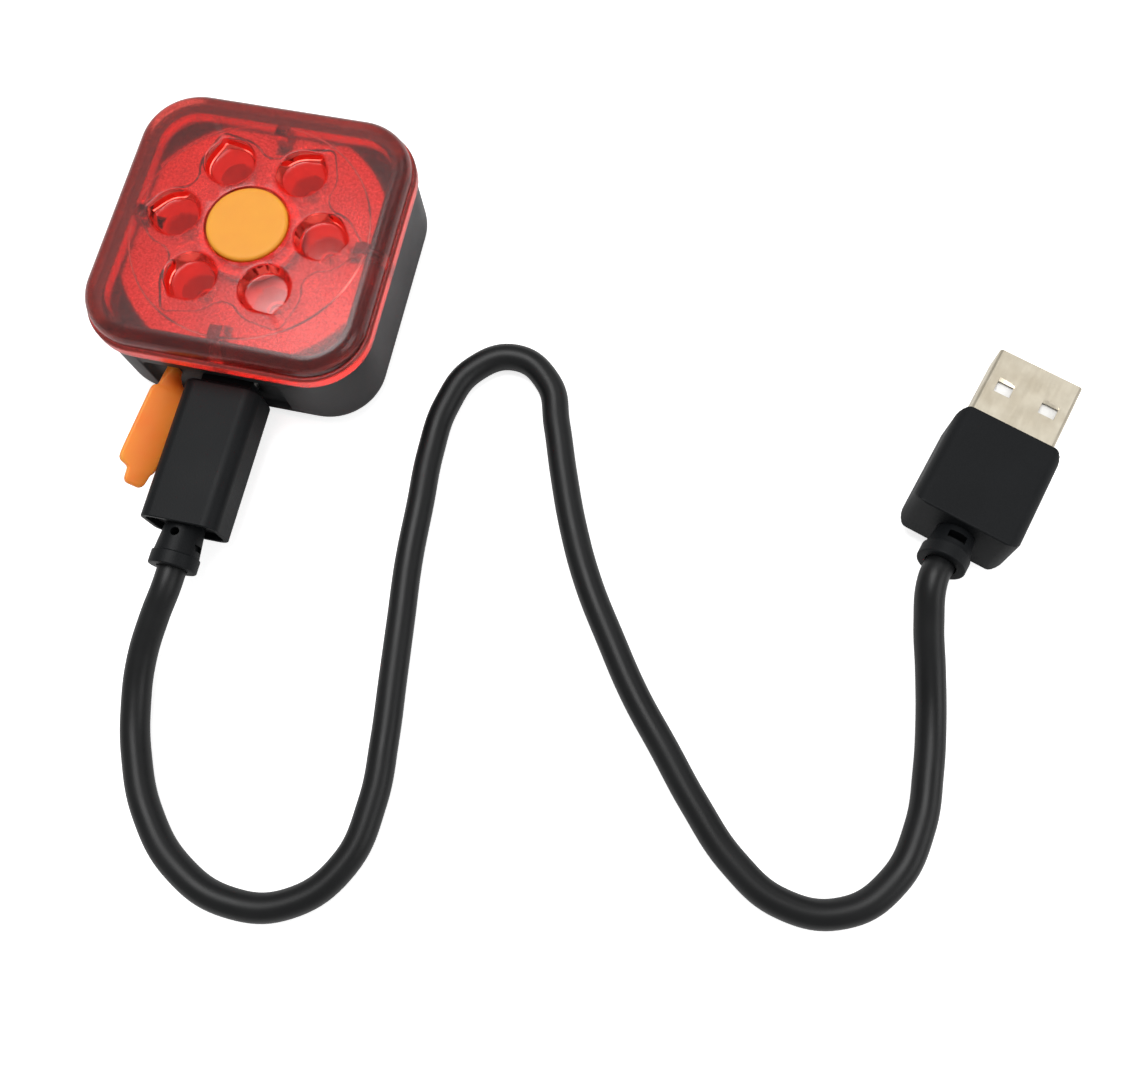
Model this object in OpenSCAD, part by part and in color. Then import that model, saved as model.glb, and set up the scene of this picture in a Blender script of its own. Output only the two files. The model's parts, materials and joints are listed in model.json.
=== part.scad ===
// Square bike rear light, lying on its back with its charging lead plugged in.
// Millimetres. The origin is the middle of the back face, +Z points out of the lens,
// and the charging recess is in the front wall, which faces -Y.

/* [Rear housing] */
// Width of the square housing
body_w = 39; // [37:0.5:48]
// Height of the housing, from its back up to the lens
body_h = 13.2; // [12.8:0.2:16]
// Radius of the upright corners
body_corner_r = 8; // [7:0.5:10]
// Thickness of the side walls
body_wall = 1.7; // [1.4:0.1:2.1]
// Thickness of the floor
body_floor = 1.6; // [1.3:0.1:2]
// Rounding of the bottom edge
body_edge_r = 3.2; // [2:0.2:3.8]
// Radius of the four corner posts that carry the board
post_r = 3.9; // [3.6:0.1:4.6]

/* [Rear rail slot] */
// Width of the slot between its lips
rail_neck_w = 12; // [8:0.5:15]
// Width of the slot behind its lips
rail_w = 16; // [13:0.5:20]
// Depth of the whole slot
rail_depth = 2.4; // [2:0.1:3]
// Thickness of the two lips
rail_lip = 1; // [0.8:0.1:1.4]
// Length of the slot, from the wall opposite the charging recess
rail_len = 17; // [12:0.5:18]

/* [Lens cover] */
// How far the foot of the lens stands out past the housing
lens_overhang = 0.5; // [0.2:0.1:1]
// Height of the lens above the housing
lens_h = 4.6; // [4.2:0.1:6]
// Height of the foot flange
lens_foot_h = 1.9; // [1.2:0.1:2.4]
// Rounding of the top edge
lens_edge_r = 1.9; // [1:0.1:2.2]
// Thickness of the side walls
lens_wall = 2.7; // [2.4:0.1:3.4]
// Thickness of the face
lens_face_t = 2.4; // [2:0.1:2.8]
// Depth of the skirt that plugs into the housing
skirt_depth = 1.8; // [1.4:0.1:2.2]
// Width of the four mid-side ribs
rib_w = 1.8; // [1.2:0.1:2.6]

/* [Light wells] */
// Distance of the wells and the LEDs from the middle
well_pitch_r = 10.3; // [9.8:0.1:11]
// Radius of the round end of a well, at the face
well_r = 3.6; // [2.8:0.1:3.8]
// Distance from the round end's centre to the point's centre
well_reach = 3.1; // [3.1:0.1:3.4]
// Radius of the point of a well, at the face
well_tip_r = 0.9; // [0.8:0.1:1.2]
// How far the sides of a well lean in towards its floor
well_draft = 0.7; // [0.2:0.1:0.7]
// Depth of a well
well_depth = 1.4; // [0.8:0.1:1.6]
// Diameter of the moulded circle on the inside of the face
circle_d = 33.2; // [30:0.2:33.4]
// Depth of the moulded steps on the inside of the face
face_step = 0.5; // [0.2:0.1:0.6]

/* [Button and switch] */
// Diameter of the button's top
button_d = 11.2; // [9.5:0.1:13.4]
// How far the button stands above the lens
button_proud = 0.2; // [0:0.1:0.6]
// Travel of the button
button_travel = 0.5; // [0.3:0.05:0.6]
// Width of the square push switch
switch_w = 6; // [5:0.1:7]
// Height of the switch's plastic base
switch_h = 3.4; // [3:0.1:3.6]
// Diameter of the switch's plunger
plunger_d = 3.4; // [2.4:0.1:3.8]

/* [Board and cell] */
// Gap between the lens and the white reflector plate
reflector_gap = 2; // [1.6:0.1:2.6]
// Thickness of the reflector plate
reflector_t = 1; // [0.8:0.1:1.4]
// Thickness of the board
board_t = 1; // [0.8:0.1:1.6]
// Length, width and height of an LED
led_size = [3.5, 2.8, 1.9]; // [1.2:0.1:4]
// Length, width and height of a resistor
resistor_size = [2, 1.25, 0.5]; // [0.3:0.05:3]
// Length, width and height of a chip's body
chip_size = [4.9, 3.9, 1.1]; // [1:0.1:6]
// Width of the cell
cell_w = 19; // [14:0.5:19.5]
// Length of the cell's body
cell_l = 22; // [16:0.5:23]
// Thickness of the cell
cell_t = 3; // [2:0.1:3.6]
// Thickness of the foam pad under the cell
pad_t = 0.5; // [0.3:0.1:0.8]
// Diameter of the cell's wires
lead_d = 1; // [0.6:0.1:1.2]

/* [Charging recess and flap] */
// Height of the charging socket's middle above the back
port_z = 6.8; // [6.6:0.1:7.4]
// Width of the recess
recess_w = 19.6; // [17:0.2:20]
// Height of the recess
recess_h = 8.2; // [8:0.1:8.4]
// Depth of the recess
recess_depth = 1.1; // [0.8:0.1:1.3]
// Shift of the recess towards the flap's side
recess_shift = 1.8; // [1:0.1:2]
// Distance of the flap's strap from the socket's middle
strap_x = 8.3; // [7.8:0.1:9]
// Height of the strap's middle above the back
strap_z = 7.6; // [6.8:0.1:8]
// Length of the flap's plate
flap_l = 11.5; // [9:0.5:14]
// Height of the flap's plate
flap_h = 5.2; // [4.4:0.1:5.6]
// Thickness of the flap's plate
flap_t = 1.2; // [0.9:0.1:1.4]
// How far the open flap swings out to the side
flap_swing = 6; // [5:1:25]
// How far the open flap leans over
flap_lean = 50; // [30:1:54]

/* [Charging plugs] */
// Width of the small plug's steel shell
small_shell_w = 6.85; // [6:0.05:7.2]
// Height of the small plug's steel shell
small_shell_h = 1.8; // [1.7:0.05:2]
// Width of the small plug's body
small_body_w = 10.8; // [9:0.1:13]
// Height of the small plug's body
small_body_h = 7.6; // [6.5:0.1:8]
// Length of the small plug's body
small_body_l = 20.2; // [15:0.1:25]
// Width of the supply plug's steel shell
supply_shell_w = 12; // [10:0.1:14]
// Height of the supply plug's steel shell
supply_shell_h = 4.5; // [4:0.1:5]
// Length of the supply plug's steel shell
supply_shell_l = 12; // [10:0.1:15]
// Width of the supply plug's body
supply_body_w = 14.6; // [13.5:0.1:18]
// Height of the supply plug's body
supply_body_h = 8; // [7:0.1:9]
// Length of the supply plug's body
supply_body_l = 16.5; // [13:0.1:20]
// Diameter of the cable
cable_d = 3.8; // [3:0.1:4.6]

/* [Hidden] */
$fn = 64;

// Clearances of the fits
press_gap = 0.05;
slide_gap = 0.1;
skirt_gap = 0.15;
button_gap = 0.2;

// Rear housing
body_in_w = body_w - 2 * body_wall;
body_in_r = body_corner_r - body_wall;
body_in_edge_r = body_edge_r / 2;
front_y = -body_w / 2;
recess_y = front_y + recess_depth;
recess_r = 1;
recess_z = port_z;
recess_x = -recess_shift;
block_wall = 1;
block_t = 1.7;
post_at = body_in_w / 2 - post_r;

// Rail slot
rail_roof = 1.2;
rail_top_z = rail_depth + rail_roof;
rail_rear_y = body_w / 2 - rail_len;

// Seal
seal_w = 0.8;
seal_h = 1;
seal_out_w = body_in_w + 2 * seal_w;
seal_out_r = body_in_r + seal_w;

// Lens cover
lens_w = body_w + 2 * lens_overhang;
lens_r = body_corner_r + lens_overhang;
lens_top_z = body_h + lens_h;
lens_under_z = lens_top_z - lens_face_t;
lens_in_w = body_w - 2 * lens_wall;
lens_in_r = body_corner_r - lens_wall;
lens_in_edge_r = 0.4;
foot_bevel = 0.4;
skirt_w = body_in_w - 2 * skirt_gap;
skirt_r = body_in_r - skirt_gap;
bead_size = [3, 0.35, 0.4];
bead_at = body_w / 5;
bead_z = body_h - skirt_depth + 0.2;
rib_l = 2;
rib_leg_l = 1.4;
wells = 6;
lobe_r = 4.7;
lobe_reach = 4.8;
lobe_tip_r = 1.2;
flower_r = 12.2;
valley_r = 2.6;
valley_at = 14;
drop_inset = 0.03;

// Board and what it carries
socket_wall = 0.35;
socket_w = small_shell_w + 2 * slide_gap + 2 * socket_wall;
socket_h = small_shell_h + 2 * slide_gap + 2 * socket_wall;
board_r = lens_in_w / 2 - 0.3;
board_z = port_z + socket_h / 2;
board_top_z = board_z + board_t;
led_cup_d = 2.2;
led_cup_top_d = 2.5;
led_cup_depth = 0.9;
resistor_at = 13.4;
reflector_z = lens_under_z - reflector_gap - reflector_t;
reflector_r = board_r + 2.3;
reflector_hole_r = 5;
reflector_cup_r = [1.6, 2.6];
reflector_cup_wall = 0.6;
reflector_cup_z = board_top_z + led_size[2] + press_gap;
reflector_cup_h = reflector_z + reflector_t - reflector_cup_z;
reflector_post_r = 1;
reflector_post_at = board_r - 3.1;
reflector_notch = [3, rib_w + 0.4];
chip_at = [12.7, 0];
chip_legs = 4;
chip_leg = [0.4, 1, 0.25];
chip_pitch = 1.27;

// Cell, pad and wires
pad_z = rail_top_z;
cell_z = pad_z + pad_t;
cell_rear_y = 14;
cell_front_y = cell_rear_y - cell_l;
cell_edge_r = 1.2;
cell_rib_w = 1.2;
cell_rib_x = cell_w / 2 - 2.5;
tab_l = 2;
tab_t = 1.4;
lead_x = 6;
lead_run = 0.6;
lead_bend_r = 1.1;

// Switch and button
cover_t = 0.3;
plunger_proud = 0.75;
plunger_flange_d = plunger_d + 1;
plunger_flange_t = 0.8;
plunger_top_z = board_top_z + switch_h + cover_t + plunger_proud;
switch_bore_depth = plunger_flange_t + button_travel + 0.6;
button_flange_w = 1.5;
button_flange_t = 0.9;
button_edge_r = 0.5;
button_stem_d = 4.2;
button_flange_z = lens_under_z - slide_gap - button_flange_t;

// Charging socket, seen from the front
socket_l = 5.2;
socket_front_y = recess_y + 0.1;
socket_rear_y = socket_front_y + socket_l;
socket_back_t = 1.2;
socket_chamfer = [0.7, 1];
tongue_w = 4.2;
tongue_t = 0.42;
tongue_z = port_z + 0.13;
contacts = 5;
contact_pitch = 0.65;
contact_w = 0.3;
contact_t = 0.05;

// Small plug
plug_front_y = front_y - 0.7;
plug_tip_y = socket_rear_y - socket_back_t - 0.2;
small_shell_wall = 0.25;
small_body_r = 2;
small_pocket = 0.9;
small_rim = 0.7;
insert_base_l = 1.6;
collar_l = 5.6;
collar_bore_depth = 1;
collar_neck_r = 2.5;
collar_r = 3;
collar_lip_r = 3.2;
collar_lip_l = 1.9;
collar_gap = 0.15;
small_rear_y = plug_front_y - small_body_l;
lead_exit_y = small_rear_y - collar_l;

// Flap and its strap, hinged on an upright line just outside the front wall
strap_t = 1.2;
strap_h = 2.6;
strap_stem = [1.4, 2.2];
strap_head = [3.2, 1.2, 3.4];
hinge_at = [-strap_x, front_y - 0.6, strap_z];
hinge_gap = 0.15;
flap_neck_l = 1.2;
flap_drop = 0.55;
flap_corner_r = 1.2;
flap_tab = [2.4, 3];
flap_boss = [6.2, 1.7, 0.5];

// Supply plug, which lies on its front edge and on the tip of its shell
supply_turn = 19;
supply_tilt = 8;
supply_at = [105, lead_exit_y + 40.5, supply_body_h / 2 * cos(supply_tilt)];
supply_back = [
    -cos(supply_tilt) * sin(supply_turn),
    -cos(supply_tilt) * cos(supply_turn),
    sin(supply_tilt)
];
supply_shell_wall = 0.3;
supply_shell_r = 0.5;
supply_body_r = 1.6;
supply_corner_r = 1.9;
supply_collar_l = 4.8;
latch_window = [2.3, 2];
latch_at = [3.2, 6.1];
latch_lip = [0.5, 0.25];
supply_tongue_t = 1.7;
supply_tongue_gap = 0.35;
supply_contacts = 4;
supply_contact = [1, 8, 0.2];
supply_contact_pitch = 2.3;

// Cable route on the table: x, y from the small plug's collar, and height of the middle
cable_z = cable_d / 2 + 0.05;
cable_route = [
    [-0.8, -6.5, 5.6], [-1.5, -12, 3.8], [-1, -17.5, 2.5], [1, -24, cable_z], [5, -31, cable_z],
    [11, -36.5, cable_z], [18.5, -39, cable_z], [26, -37.5, cable_z], [31.5, -31.5, cable_z],
    [33, -23.5, cable_z], [32.5, -15.5, cable_z], [31.5, -7.5, cable_z], [30.5, 0.5, cable_z],
    [29.5, 8.5, cable_z], [29, 16.5, cable_z], [28.5, 24.5, cable_z], [29, 32, cable_z],
    [31.5, 38, cable_z], [37, 41, cable_z], [42.5, 38, cable_z], [45, 32, cable_z],
    [47.5, 25, cable_z], [50.5, 17.5, cable_z], [54, 10.5, cable_z], [58.5, 3.5, cable_z],
    [63, -3, cable_z], [68, -9, cable_z], [73, -15, cable_z], [79, -21, cable_z],
    [85.5, -24.5, cable_z], [93, -24, cable_z], [98.5, -19, cable_z], [100.8, -12, cable_z],
    [101, -5, cable_z], [100.5, 1.5, 2.2], [99.4, 7.5, 3.4], [98, 13, 5.4]
];
cable_sides = 8;
cable_straight = 2.5;
cable_start = [0, lead_exit_y + collar_bore_depth, port_z];
cable_end = supply_at + supply_back * (supply_body_l + supply_collar_l - collar_bore_depth);
cable_points = concat(
    [cable_start, cable_start - [0, cable_straight + collar_bore_depth, 0]],
    [for (p = cable_route) [p[0], lead_exit_y + p[1], p[2]]],
    [cable_end + supply_back * (cable_straight + collar_bore_depth), cable_end]
);

// A rectangle with round corners, centred
module round_rect(w, d, r) {
    square([w - 2 * r, d], center = true);
    square([w, d - 2 * r], center = true);
    for (x = [-1, 1], y = [-1, 1])
        translate([x * (w / 2 - r), y * (d / 2 - r)])
            circle(r);
}

// A square block with upright round corners
module round_block(w, r, h) {
    linear_extrude(h)
        round_rect(w, w, r);
}

// One side profile turned round the four corners of a square and run along its four sides.
// The profile's x points outwards from the corner's centre, and its y points up.
module side_sweep(w, r) {
    run = w - 2 * r;
    for (turn = [0:90:270])
        rotate(turn)
            translate([run / 2, run / 2, 0]) {
                rotate_extrude(angle = 90)
                    children();
                rotate([90, 0, 0])
                    linear_extrude(run)
                        children();
            }
}

// Profile of a wall whose lower edge is rounded
module tray_profile(r, h, edge_r) {
    translate([0, edge_r])
        square([r, h - edge_r]);
    square([r - edge_r, h]);
    translate([r - edge_r, edge_r])
        circle(edge_r);
}

// A square tray, filled, with its lower edge rounded
module tray(w, r, h, edge_r) {
    run = w - 2 * r;
    side_sweep(w, r)
        tray_profile(r, h, edge_r);
    translate([-run / 2, -run / 2, 0])
        cube([run, run, h]);
}

// The same tray turned over, so that its top edge is rounded and its foot is at zero
module cap(w, r, h, edge_r) {
    translate([0, 0, h])
        mirror([0, 0, 1])
            tray(w, r, h, edge_r);
}

// A circle drawn out along +X to a small round point
module drop(r, reach, tip_r) {
    lean = asin((r - tip_r) / reach);
    flank_r = r - drop_inset;
    flank_tip_r = tip_r - drop_inset;
    circle(r);
    translate([reach, 0])
        circle(tip_r);
    polygon([
        [flank_r * sin(lean), flank_r * cos(lean)],
        [flank_r * sin(lean), -flank_r * cos(lean)],
        [reach + flank_tip_r * sin(lean), -flank_tip_r * cos(lean)],
        [reach + flank_tip_r * sin(lean), flank_tip_r * cos(lean)]
    ]);
}

// The solid of a drop whose sides lean outwards: its floor is at zero and its top at h
module leaning_drop(r, reach, tip_r, draft, h) {
    lean = asin((r - tip_r) / reach);
    corners = [
        for (level = [0, 1])
            let (
                flank_r = r + level * draft - drop_inset,
                flank_tip_r = tip_r + level * draft - drop_inset
            )
            each [
                [flank_r * sin(lean), flank_r * cos(lean), level * h],
                [flank_r * sin(lean), -flank_r * cos(lean), level * h],
                [reach + flank_tip_r * sin(lean), -flank_tip_r * cos(lean), level * h],
                [reach + flank_tip_r * sin(lean), flank_tip_r * cos(lean), level * h]
            ]
    ];
    cylinder(r1 = r, r2 = r + draft, h = h);
    translate([reach, 0, 0])
        cylinder(r1 = tip_r, r2 = tip_r + draft, h = h);
    polyhedron(
        points = corners,
        faces = [[0, 1, 2, 3], [7, 6, 5, 4], [0, 4, 5, 1], [1, 5, 6, 2], [2, 6, 7, 3], [3, 7, 4, 0]]
    );
}

// Places its children once at each light well, with +X pointing outwards
module at_wells(r) {
    for (i = [0:wells - 1])
        rotate(360 * i / wells)
            translate([r, 0, 0])
                children();
}

// Six pointed lobes round the wells, with hollow valleys between them
module flower() {
    at_wells(well_pitch_r)
        drop(lobe_r, lobe_reach, lobe_tip_r);
    difference() {
        circle(flower_r);
        rotate(180 / wells)
            at_wells(valley_at)
                circle(valley_r);
    }
}

// Outline of the charging socket and of the plug in it: its two lower corners are cut off
module port_outline(w, h) {
    polygon([
        [-w / 2, h / 2],
        [w / 2, h / 2],
        [w / 2, -h / 2 + socket_chamfer[1]],
        [w / 2 - socket_chamfer[0], -h / 2],
        [-w / 2 + socket_chamfer[0], -h / 2],
        [-w / 2, -h / 2 + socket_chamfer[1]]
    ]);
}

// Runs an outline drawn in X and Z along Y, from y0 to y1
module run_y(y0, y1) {
    translate([0, y1, 0])
        rotate([90, 0, 0])
            linear_extrude(y1 - y0)
                children();
}

// Collar of a plug along -Y from its origin: a neck that widens to a lip round the cable
module collar(l) {
    lip_y = l - collar_lip_l;
    rotate([90, 0, 0])
        difference() {
            union() {
                cylinder(r1 = collar_neck_r, r2 = collar_r, h = lip_y);
                translate([0, 0, lip_y])
                    cylinder(r = collar_lip_r, h = collar_lip_l);
            }
            translate([0, 0, l - collar_bore_depth])
                cylinder(d = cable_d + 2 * collar_gap, h = collar_bore_depth + 1);
        }
}

function unit(v) = v / norm(v);

function heading(points, i) =
    unit(points[min(i + 1, len(points) - 1)] - points[max(i - 1, 0)]);

// Points of the ring round one point of a route
function ring(points, i, r, sides) =
    let (
        ahead = heading(points, i),
        across = unit(cross(ahead, [0, 0, 1])),
        lift = cross(across, ahead)
    )
    [for (s = [0:sides - 1])
        let (angle = 360 * (s + 0.5) / sides)
        points[i] + r * (cos(angle) * across + sin(angle) * lift)];

// A closed tube along a route
module tube(points, d, sides) {
    last = (len(points) - 1) * sides;
    start_cap = [for (s = [1:sides - 2]) [0, s + 1, s]];
    end_cap = [for (s = [1:sides - 2]) [last, last + s, last + s + 1]];
    wall = [
        for (i = [0:len(points) - 2], s = [0:sides - 1])
            let (
                a = i * sides + s,
                b = i * sides + (s + 1) % sides
            )
            each [[a, b, b + sides], [a, b + sides, a + sides]]
    ];
    polyhedron(
        points = [for (i = [0:len(points) - 1]) each ring(points, i, d / 2, sides)],
        faces = concat(start_cap, wall, end_cap)
    );
}

module rear_housing() {
    color("#2e3033")
        difference() {
            union() {
                housing_shell();
                housing_posts();
                housing_port_block();
                housing_cell_ribs();
                translate([-rail_w / 2 - rail_roof, rail_rear_y - rail_roof, 0.5])
                    cube([rail_w + 2 * rail_roof, rail_len + rail_roof - body_wall, rail_top_z - 0.5]);
            }
            translate([0, 0, body_h - seal_h])
                round_block(seal_out_w, seal_out_r, seal_h + 1);
            housing_snap_pockets();
            housing_port_cuts();
            translate([-rail_neck_w / 2, rail_rear_y, -1])
                cube([rail_neck_w, rail_len + 1, rail_lip + 1.1]);
            translate([-rail_w / 2, rail_rear_y, rail_lip])
                cube([rail_w, rail_len + 1, rail_depth - rail_lip]);
        }
}

module housing_shell() {
    difference() {
        tray(body_w, body_corner_r, body_h, body_edge_r);
        translate([0, 0, body_floor])
            tray(body_in_w, body_in_r, body_h, body_in_edge_r);
    }
}

module housing_posts() {
    for (x = [-1, 1], y = [-1, 1])
        translate([x * post_at, y * post_at, body_floor - 0.3])
            cylinder(r = post_r, h = board_z - body_floor + 0.3);
}

// Two ribs that carry the front half of the cell, level with the roof of the rail slot
module housing_cell_ribs() {
    for (side = [-1, 1])
        translate([side * cell_rib_x - cell_rib_w / 2, cell_front_y + 0.5, body_floor - 0.3])
            cube([cell_rib_w, rail_rear_y - cell_front_y - 0.5, rail_top_z - body_floor + 0.3]);
}

// Thick part of the front wall, behind the charging recess
module housing_port_block() {
    top_z = recess_z + recess_h / 2;
    translate([recess_x - recess_w / 2 - block_wall, recess_y, body_floor - 0.3])
        cube([recess_w + 2 * block_wall, block_t, top_z - body_floor + 0.3]);
}

// Recess for the flap, opening for the socket and hole for the strap
module housing_port_cuts() {
    translate([recess_x, 0, recess_z])
        run_y(front_y - 1, recess_y)
            round_rect(recess_w, recess_h, recess_r);
    translate([0, 0, port_z])
        run_y(recess_y - 0.5, recess_y + block_t + 1)
            square([socket_w + 2 * slide_gap, socket_h + 2 * slide_gap], center = true);
    translate([-strap_x, 0, strap_z])
        run_y(recess_y - 0.5, recess_y + block_t + 1)
            square(strap_stem + 2 * [press_gap, press_gap], center = true);
}

// Pockets for the snap beads of the lens, two on each side
module housing_snap_pockets() {
    room = 0.15;
    snap_beads(body_in_w / 2 - 0.2, bead_size + [2 * room, 0.2 + room, 2 * room], bead_z - room);
}

module snap_beads(at, size, z) {
    for (turn = [0:90:270], x = [-bead_at, bead_at])
        rotate(turn)
            translate([x - size[0] / 2, at, z])
                cube(size);
}

module lens_cover() {
    color("#d42a20", 0.8)
        union() {
            difference() {
                lens_shell();
                lens_cuts();
            }
            lens_ribs();
        }
}

module lens_shell() {
    run = lens_w - 2 * lens_r;
    translate([0, 0, body_h]) {
        side_sweep(lens_w, lens_r)
            polygon([
                [0, 0],
                [lens_r, 0],
                [lens_r, lens_foot_h - foot_bevel],
                [lens_r - foot_bevel, lens_foot_h],
                [0, lens_foot_h]
            ]);
        translate([-run / 2, -run / 2, 0])
            cube([run, run, lens_foot_h]);
        cap(body_w, body_corner_r, lens_h, lens_edge_r);
    }
    translate([0, 0, body_h - skirt_depth])
        round_block(skirt_w, skirt_r, skirt_depth + 0.5);
    snap_beads(skirt_w / 2 - 0.2, bead_size + [0, 0.2, 0], bead_z);
}

// Hollow of the lens, its wells, the button's hole and the steps on the inside of its face
module lens_cuts() {
    well_h = well_depth + 0.2;
    translate([0, 0, body_h - skirt_depth - 1])
        cap(lens_in_w, lens_in_r, lens_under_z - body_h + skirt_depth + 1, lens_in_edge_r);
    translate([0, 0, lens_top_z - well_depth])
        at_wells(well_pitch_r)
            leaning_drop(
                well_r - well_draft, well_reach, well_tip_r - well_draft,
                well_draft * well_h / well_depth, well_h
            );
    translate([0, 0, lens_under_z - 1])
        cylinder(d = button_d + 2 * button_gap, h = lens_face_t + 2);
    translate([0, 0, lens_under_z - 0.1])
        linear_extrude(face_step + 0.1)
            difference() {
                circle(d = circle_d);
                flower();
            }
}

// Mid-side ribs, whose legs hold the board down on its posts
module lens_ribs() {
    leg_z = board_top_z;
    leg_at = board_r - 0.3 - rib_leg_l;
    for (turn = [0:90:270])
        rotate(turn) {
            translate([lens_in_w / 2 - rib_l, -rib_w / 2, body_h])
                cube([rib_l + 0.3, rib_w, lens_under_z - body_h + 0.8]);
            translate([leg_at, -rib_w / 2, leg_z])
                cube([rib_leg_l, rib_w, lens_under_z - leg_z + 0.8]);
        }
}

module lens_seal() {
    color("#1b1b1b")
        translate([0, 0, body_h - seal_h])
            difference() {
                round_block(seal_out_w - 2 * press_gap, seal_out_r - press_gap, seal_h);
                translate([0, 0, -1])
                    round_block(body_in_w, body_in_r, seal_h + 2);
            }
}

// White plate on four posts, with its corners cut round, a funnel down to each LED
// and a notch for each leg of the lens
module reflector_plate() {
    color("#f6f4ee")
        difference() {
            union() {
                translate([0, 0, reflector_z])
                    intersection() {
                        cylinder(r = reflector_r, h = reflector_t);
                        translate([-board_r, -board_r, 0])
                            cube([2 * board_r, 2 * board_r, reflector_t]);
                    }
                at_wells(well_pitch_r)
                    translate([0, 0, reflector_cup_z])
                        reflector_funnel(reflector_cup_wall, reflector_cup_h);
                for (angle = [30, 150, 210, 330])
                    rotate(angle)
                        translate([reflector_post_at, 0, board_top_z + press_gap])
                            cylinder(r = reflector_post_r, h = reflector_z - board_top_z);
            }
            translate([0, 0, reflector_z - 1])
                cylinder(r = reflector_hole_r, h = reflector_t + 2);
            at_wells(well_pitch_r)
                translate([0, 0, reflector_cup_z - 0.01])
                    reflector_funnel(0, reflector_cup_h + 0.02);
            for (angle = [0:90:270])
                rotate(angle)
                    translate([board_r - reflector_notch[0], -reflector_notch[1] / 2, reflector_z - 1])
                        cube([reflector_notch[0] + 1, reflector_notch[1], reflector_t + 2]);
        }
}

module reflector_funnel(wall, h) {
    cylinder(r1 = reflector_cup_r[0] + wall, r2 = reflector_cup_r[1] + wall, h = h);
}

module circuit_board() {
    color("#f0ece0")
        translate([0, 0, board_z])
            cylinder(r = board_r, h = board_t);
}

module led_packages() {
    color("#f4f1e6")
        at_wells(well_pitch_r)
            translate([0, 0, board_top_z])
                difference() {
                    translate([0, 0, led_size[2] / 2])
                        cube(led_size, center = true);
                    translate([0, 0, led_size[2] - led_cup_depth])
                        led_cup(0, led_cup_depth + 0.01);
                }
}

// The cup in an LED, or what fills it with a gap all round
module led_cup(gap, h) {
    cylinder(d1 = led_cup_d - 2 * gap, d2 = led_cup_top_d - 2 * gap, h = h);
}

module led_resin() {
    color("#f2d9a0")
        at_wells(well_pitch_r)
            translate([0, 0, board_top_z + led_size[2] - led_cup_depth])
                led_cup(0.02, led_cup_depth);
}

module led_resistors() {
    color("#1e1e20")
        at_wells(resistor_at)
            translate([0, 0, board_top_z + resistor_size[2] / 2])
                rotate(90)
                    cube(resistor_size, center = true);
}

module switch_base() {
    color("#222326")
        translate([0, 0, board_top_z])
            difference() {
                translate([-switch_w / 2, -switch_w / 2, 0])
                    cube([switch_w, switch_w, switch_h]);
                translate([0, 0, switch_h - switch_bore_depth])
                    cylinder(d = plunger_flange_d + 2 * slide_gap, h = switch_bore_depth + 1);
            }
}

module switch_cover() {
    stud_at = switch_w / 2 - 0.8;
    color("silver")
        translate([0, 0, board_top_z + switch_h])
            difference() {
                union() {
                    translate([-switch_w / 2, -switch_w / 2, 0])
                        cube([switch_w, switch_w, cover_t]);
                    for (x = [-1, 1], y = [-1, 1])
                        translate([x * stud_at, y * stud_at, 0])
                            cylinder(d = 0.9, h = cover_t + 0.2);
                }
                translate([0, 0, -1])
                    cylinder(d = plunger_d + 2 * slide_gap, h = cover_t + 2);
            }
}

module switch_plunger() {
    flange_top_z = board_top_z + switch_h - slide_gap;
    color("#d8d8d4")
        union() {
            translate([0, 0, flange_top_z - plunger_flange_t])
                cylinder(d = plunger_flange_d, h = plunger_flange_t);
            translate([0, 0, flange_top_z - plunger_flange_t])
                cylinder(d = plunger_d, h = plunger_top_z - flange_top_z + plunger_flange_t);
        }
}

module button_cap() {
    top_r = button_d / 2;
    top_z = lens_top_z + button_proud;
    stem_z = plunger_top_z + press_gap;
    color("#f0a03c")
        union() {
            translate([0, 0, stem_z])
                cylinder(d = button_stem_d, h = button_flange_z - stem_z + 0.2);
            translate([0, 0, button_flange_z])
                cylinder(r = top_r + button_flange_w, h = button_flange_t);
            translate([0, 0, button_flange_z])
                rotate_extrude()
                    button_profile(top_r, top_z - button_flange_z);
        }
}

// Half section of the button's post, with its top edge rounded
module button_profile(r, h) {
    square([r, h - button_edge_r]);
    square([r - button_edge_r, h]);
    intersection() {
        translate([r - button_edge_r, h - button_edge_r])
            circle(button_edge_r);
        square([r, h]);
    }
}

module battery_cell() {
    color("#c9ccd0")
        union() {
            translate([0, 0, cell_z + cell_t / 2])
                run_y(cell_front_y, cell_rear_y)
                    round_rect(cell_w, cell_t, cell_edge_r);
            translate([-cell_w / 2 + cell_edge_r, cell_front_y - tab_l, cell_z + cell_t / 2 - tab_t / 2])
                cube([cell_w - 2 * cell_edge_r, tab_l + 0.5, tab_t]);
        }
}

module battery_pad() {
    color("#3a3a38")
        translate([-cell_w / 2 + 1, cell_front_y + 0.5, pad_z])
            cube([cell_w - 2, cell_l - 1, pad_t]);
}

// Wire from the cell's tab forwards and up to the board
module battery_lead(x) {
    z = cell_z + cell_t / 2;
    y = cell_front_y - tab_l;
    union() {
        translate([x, y, z])
            rotate([90, 0, 0])
                cylinder(d = lead_d, h = lead_run);
        translate([x, y - lead_run, z + lead_bend_r])
            rotate([180, 90, 0])
                rotate_extrude(angle = 90)
                    translate([lead_bend_r, 0])
                        circle(d = lead_d);
        translate([x, y - lead_run - lead_bend_r, z + lead_bend_r])
            cylinder(d = lead_d, h = board_z - z - lead_bend_r);
    }
}

module battery_lead_red() {
    color("#b8231d")
        battery_lead(lead_x);
}

module battery_lead_black() {
    color("#18181a")
        battery_lead(-lead_x);
}

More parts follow.
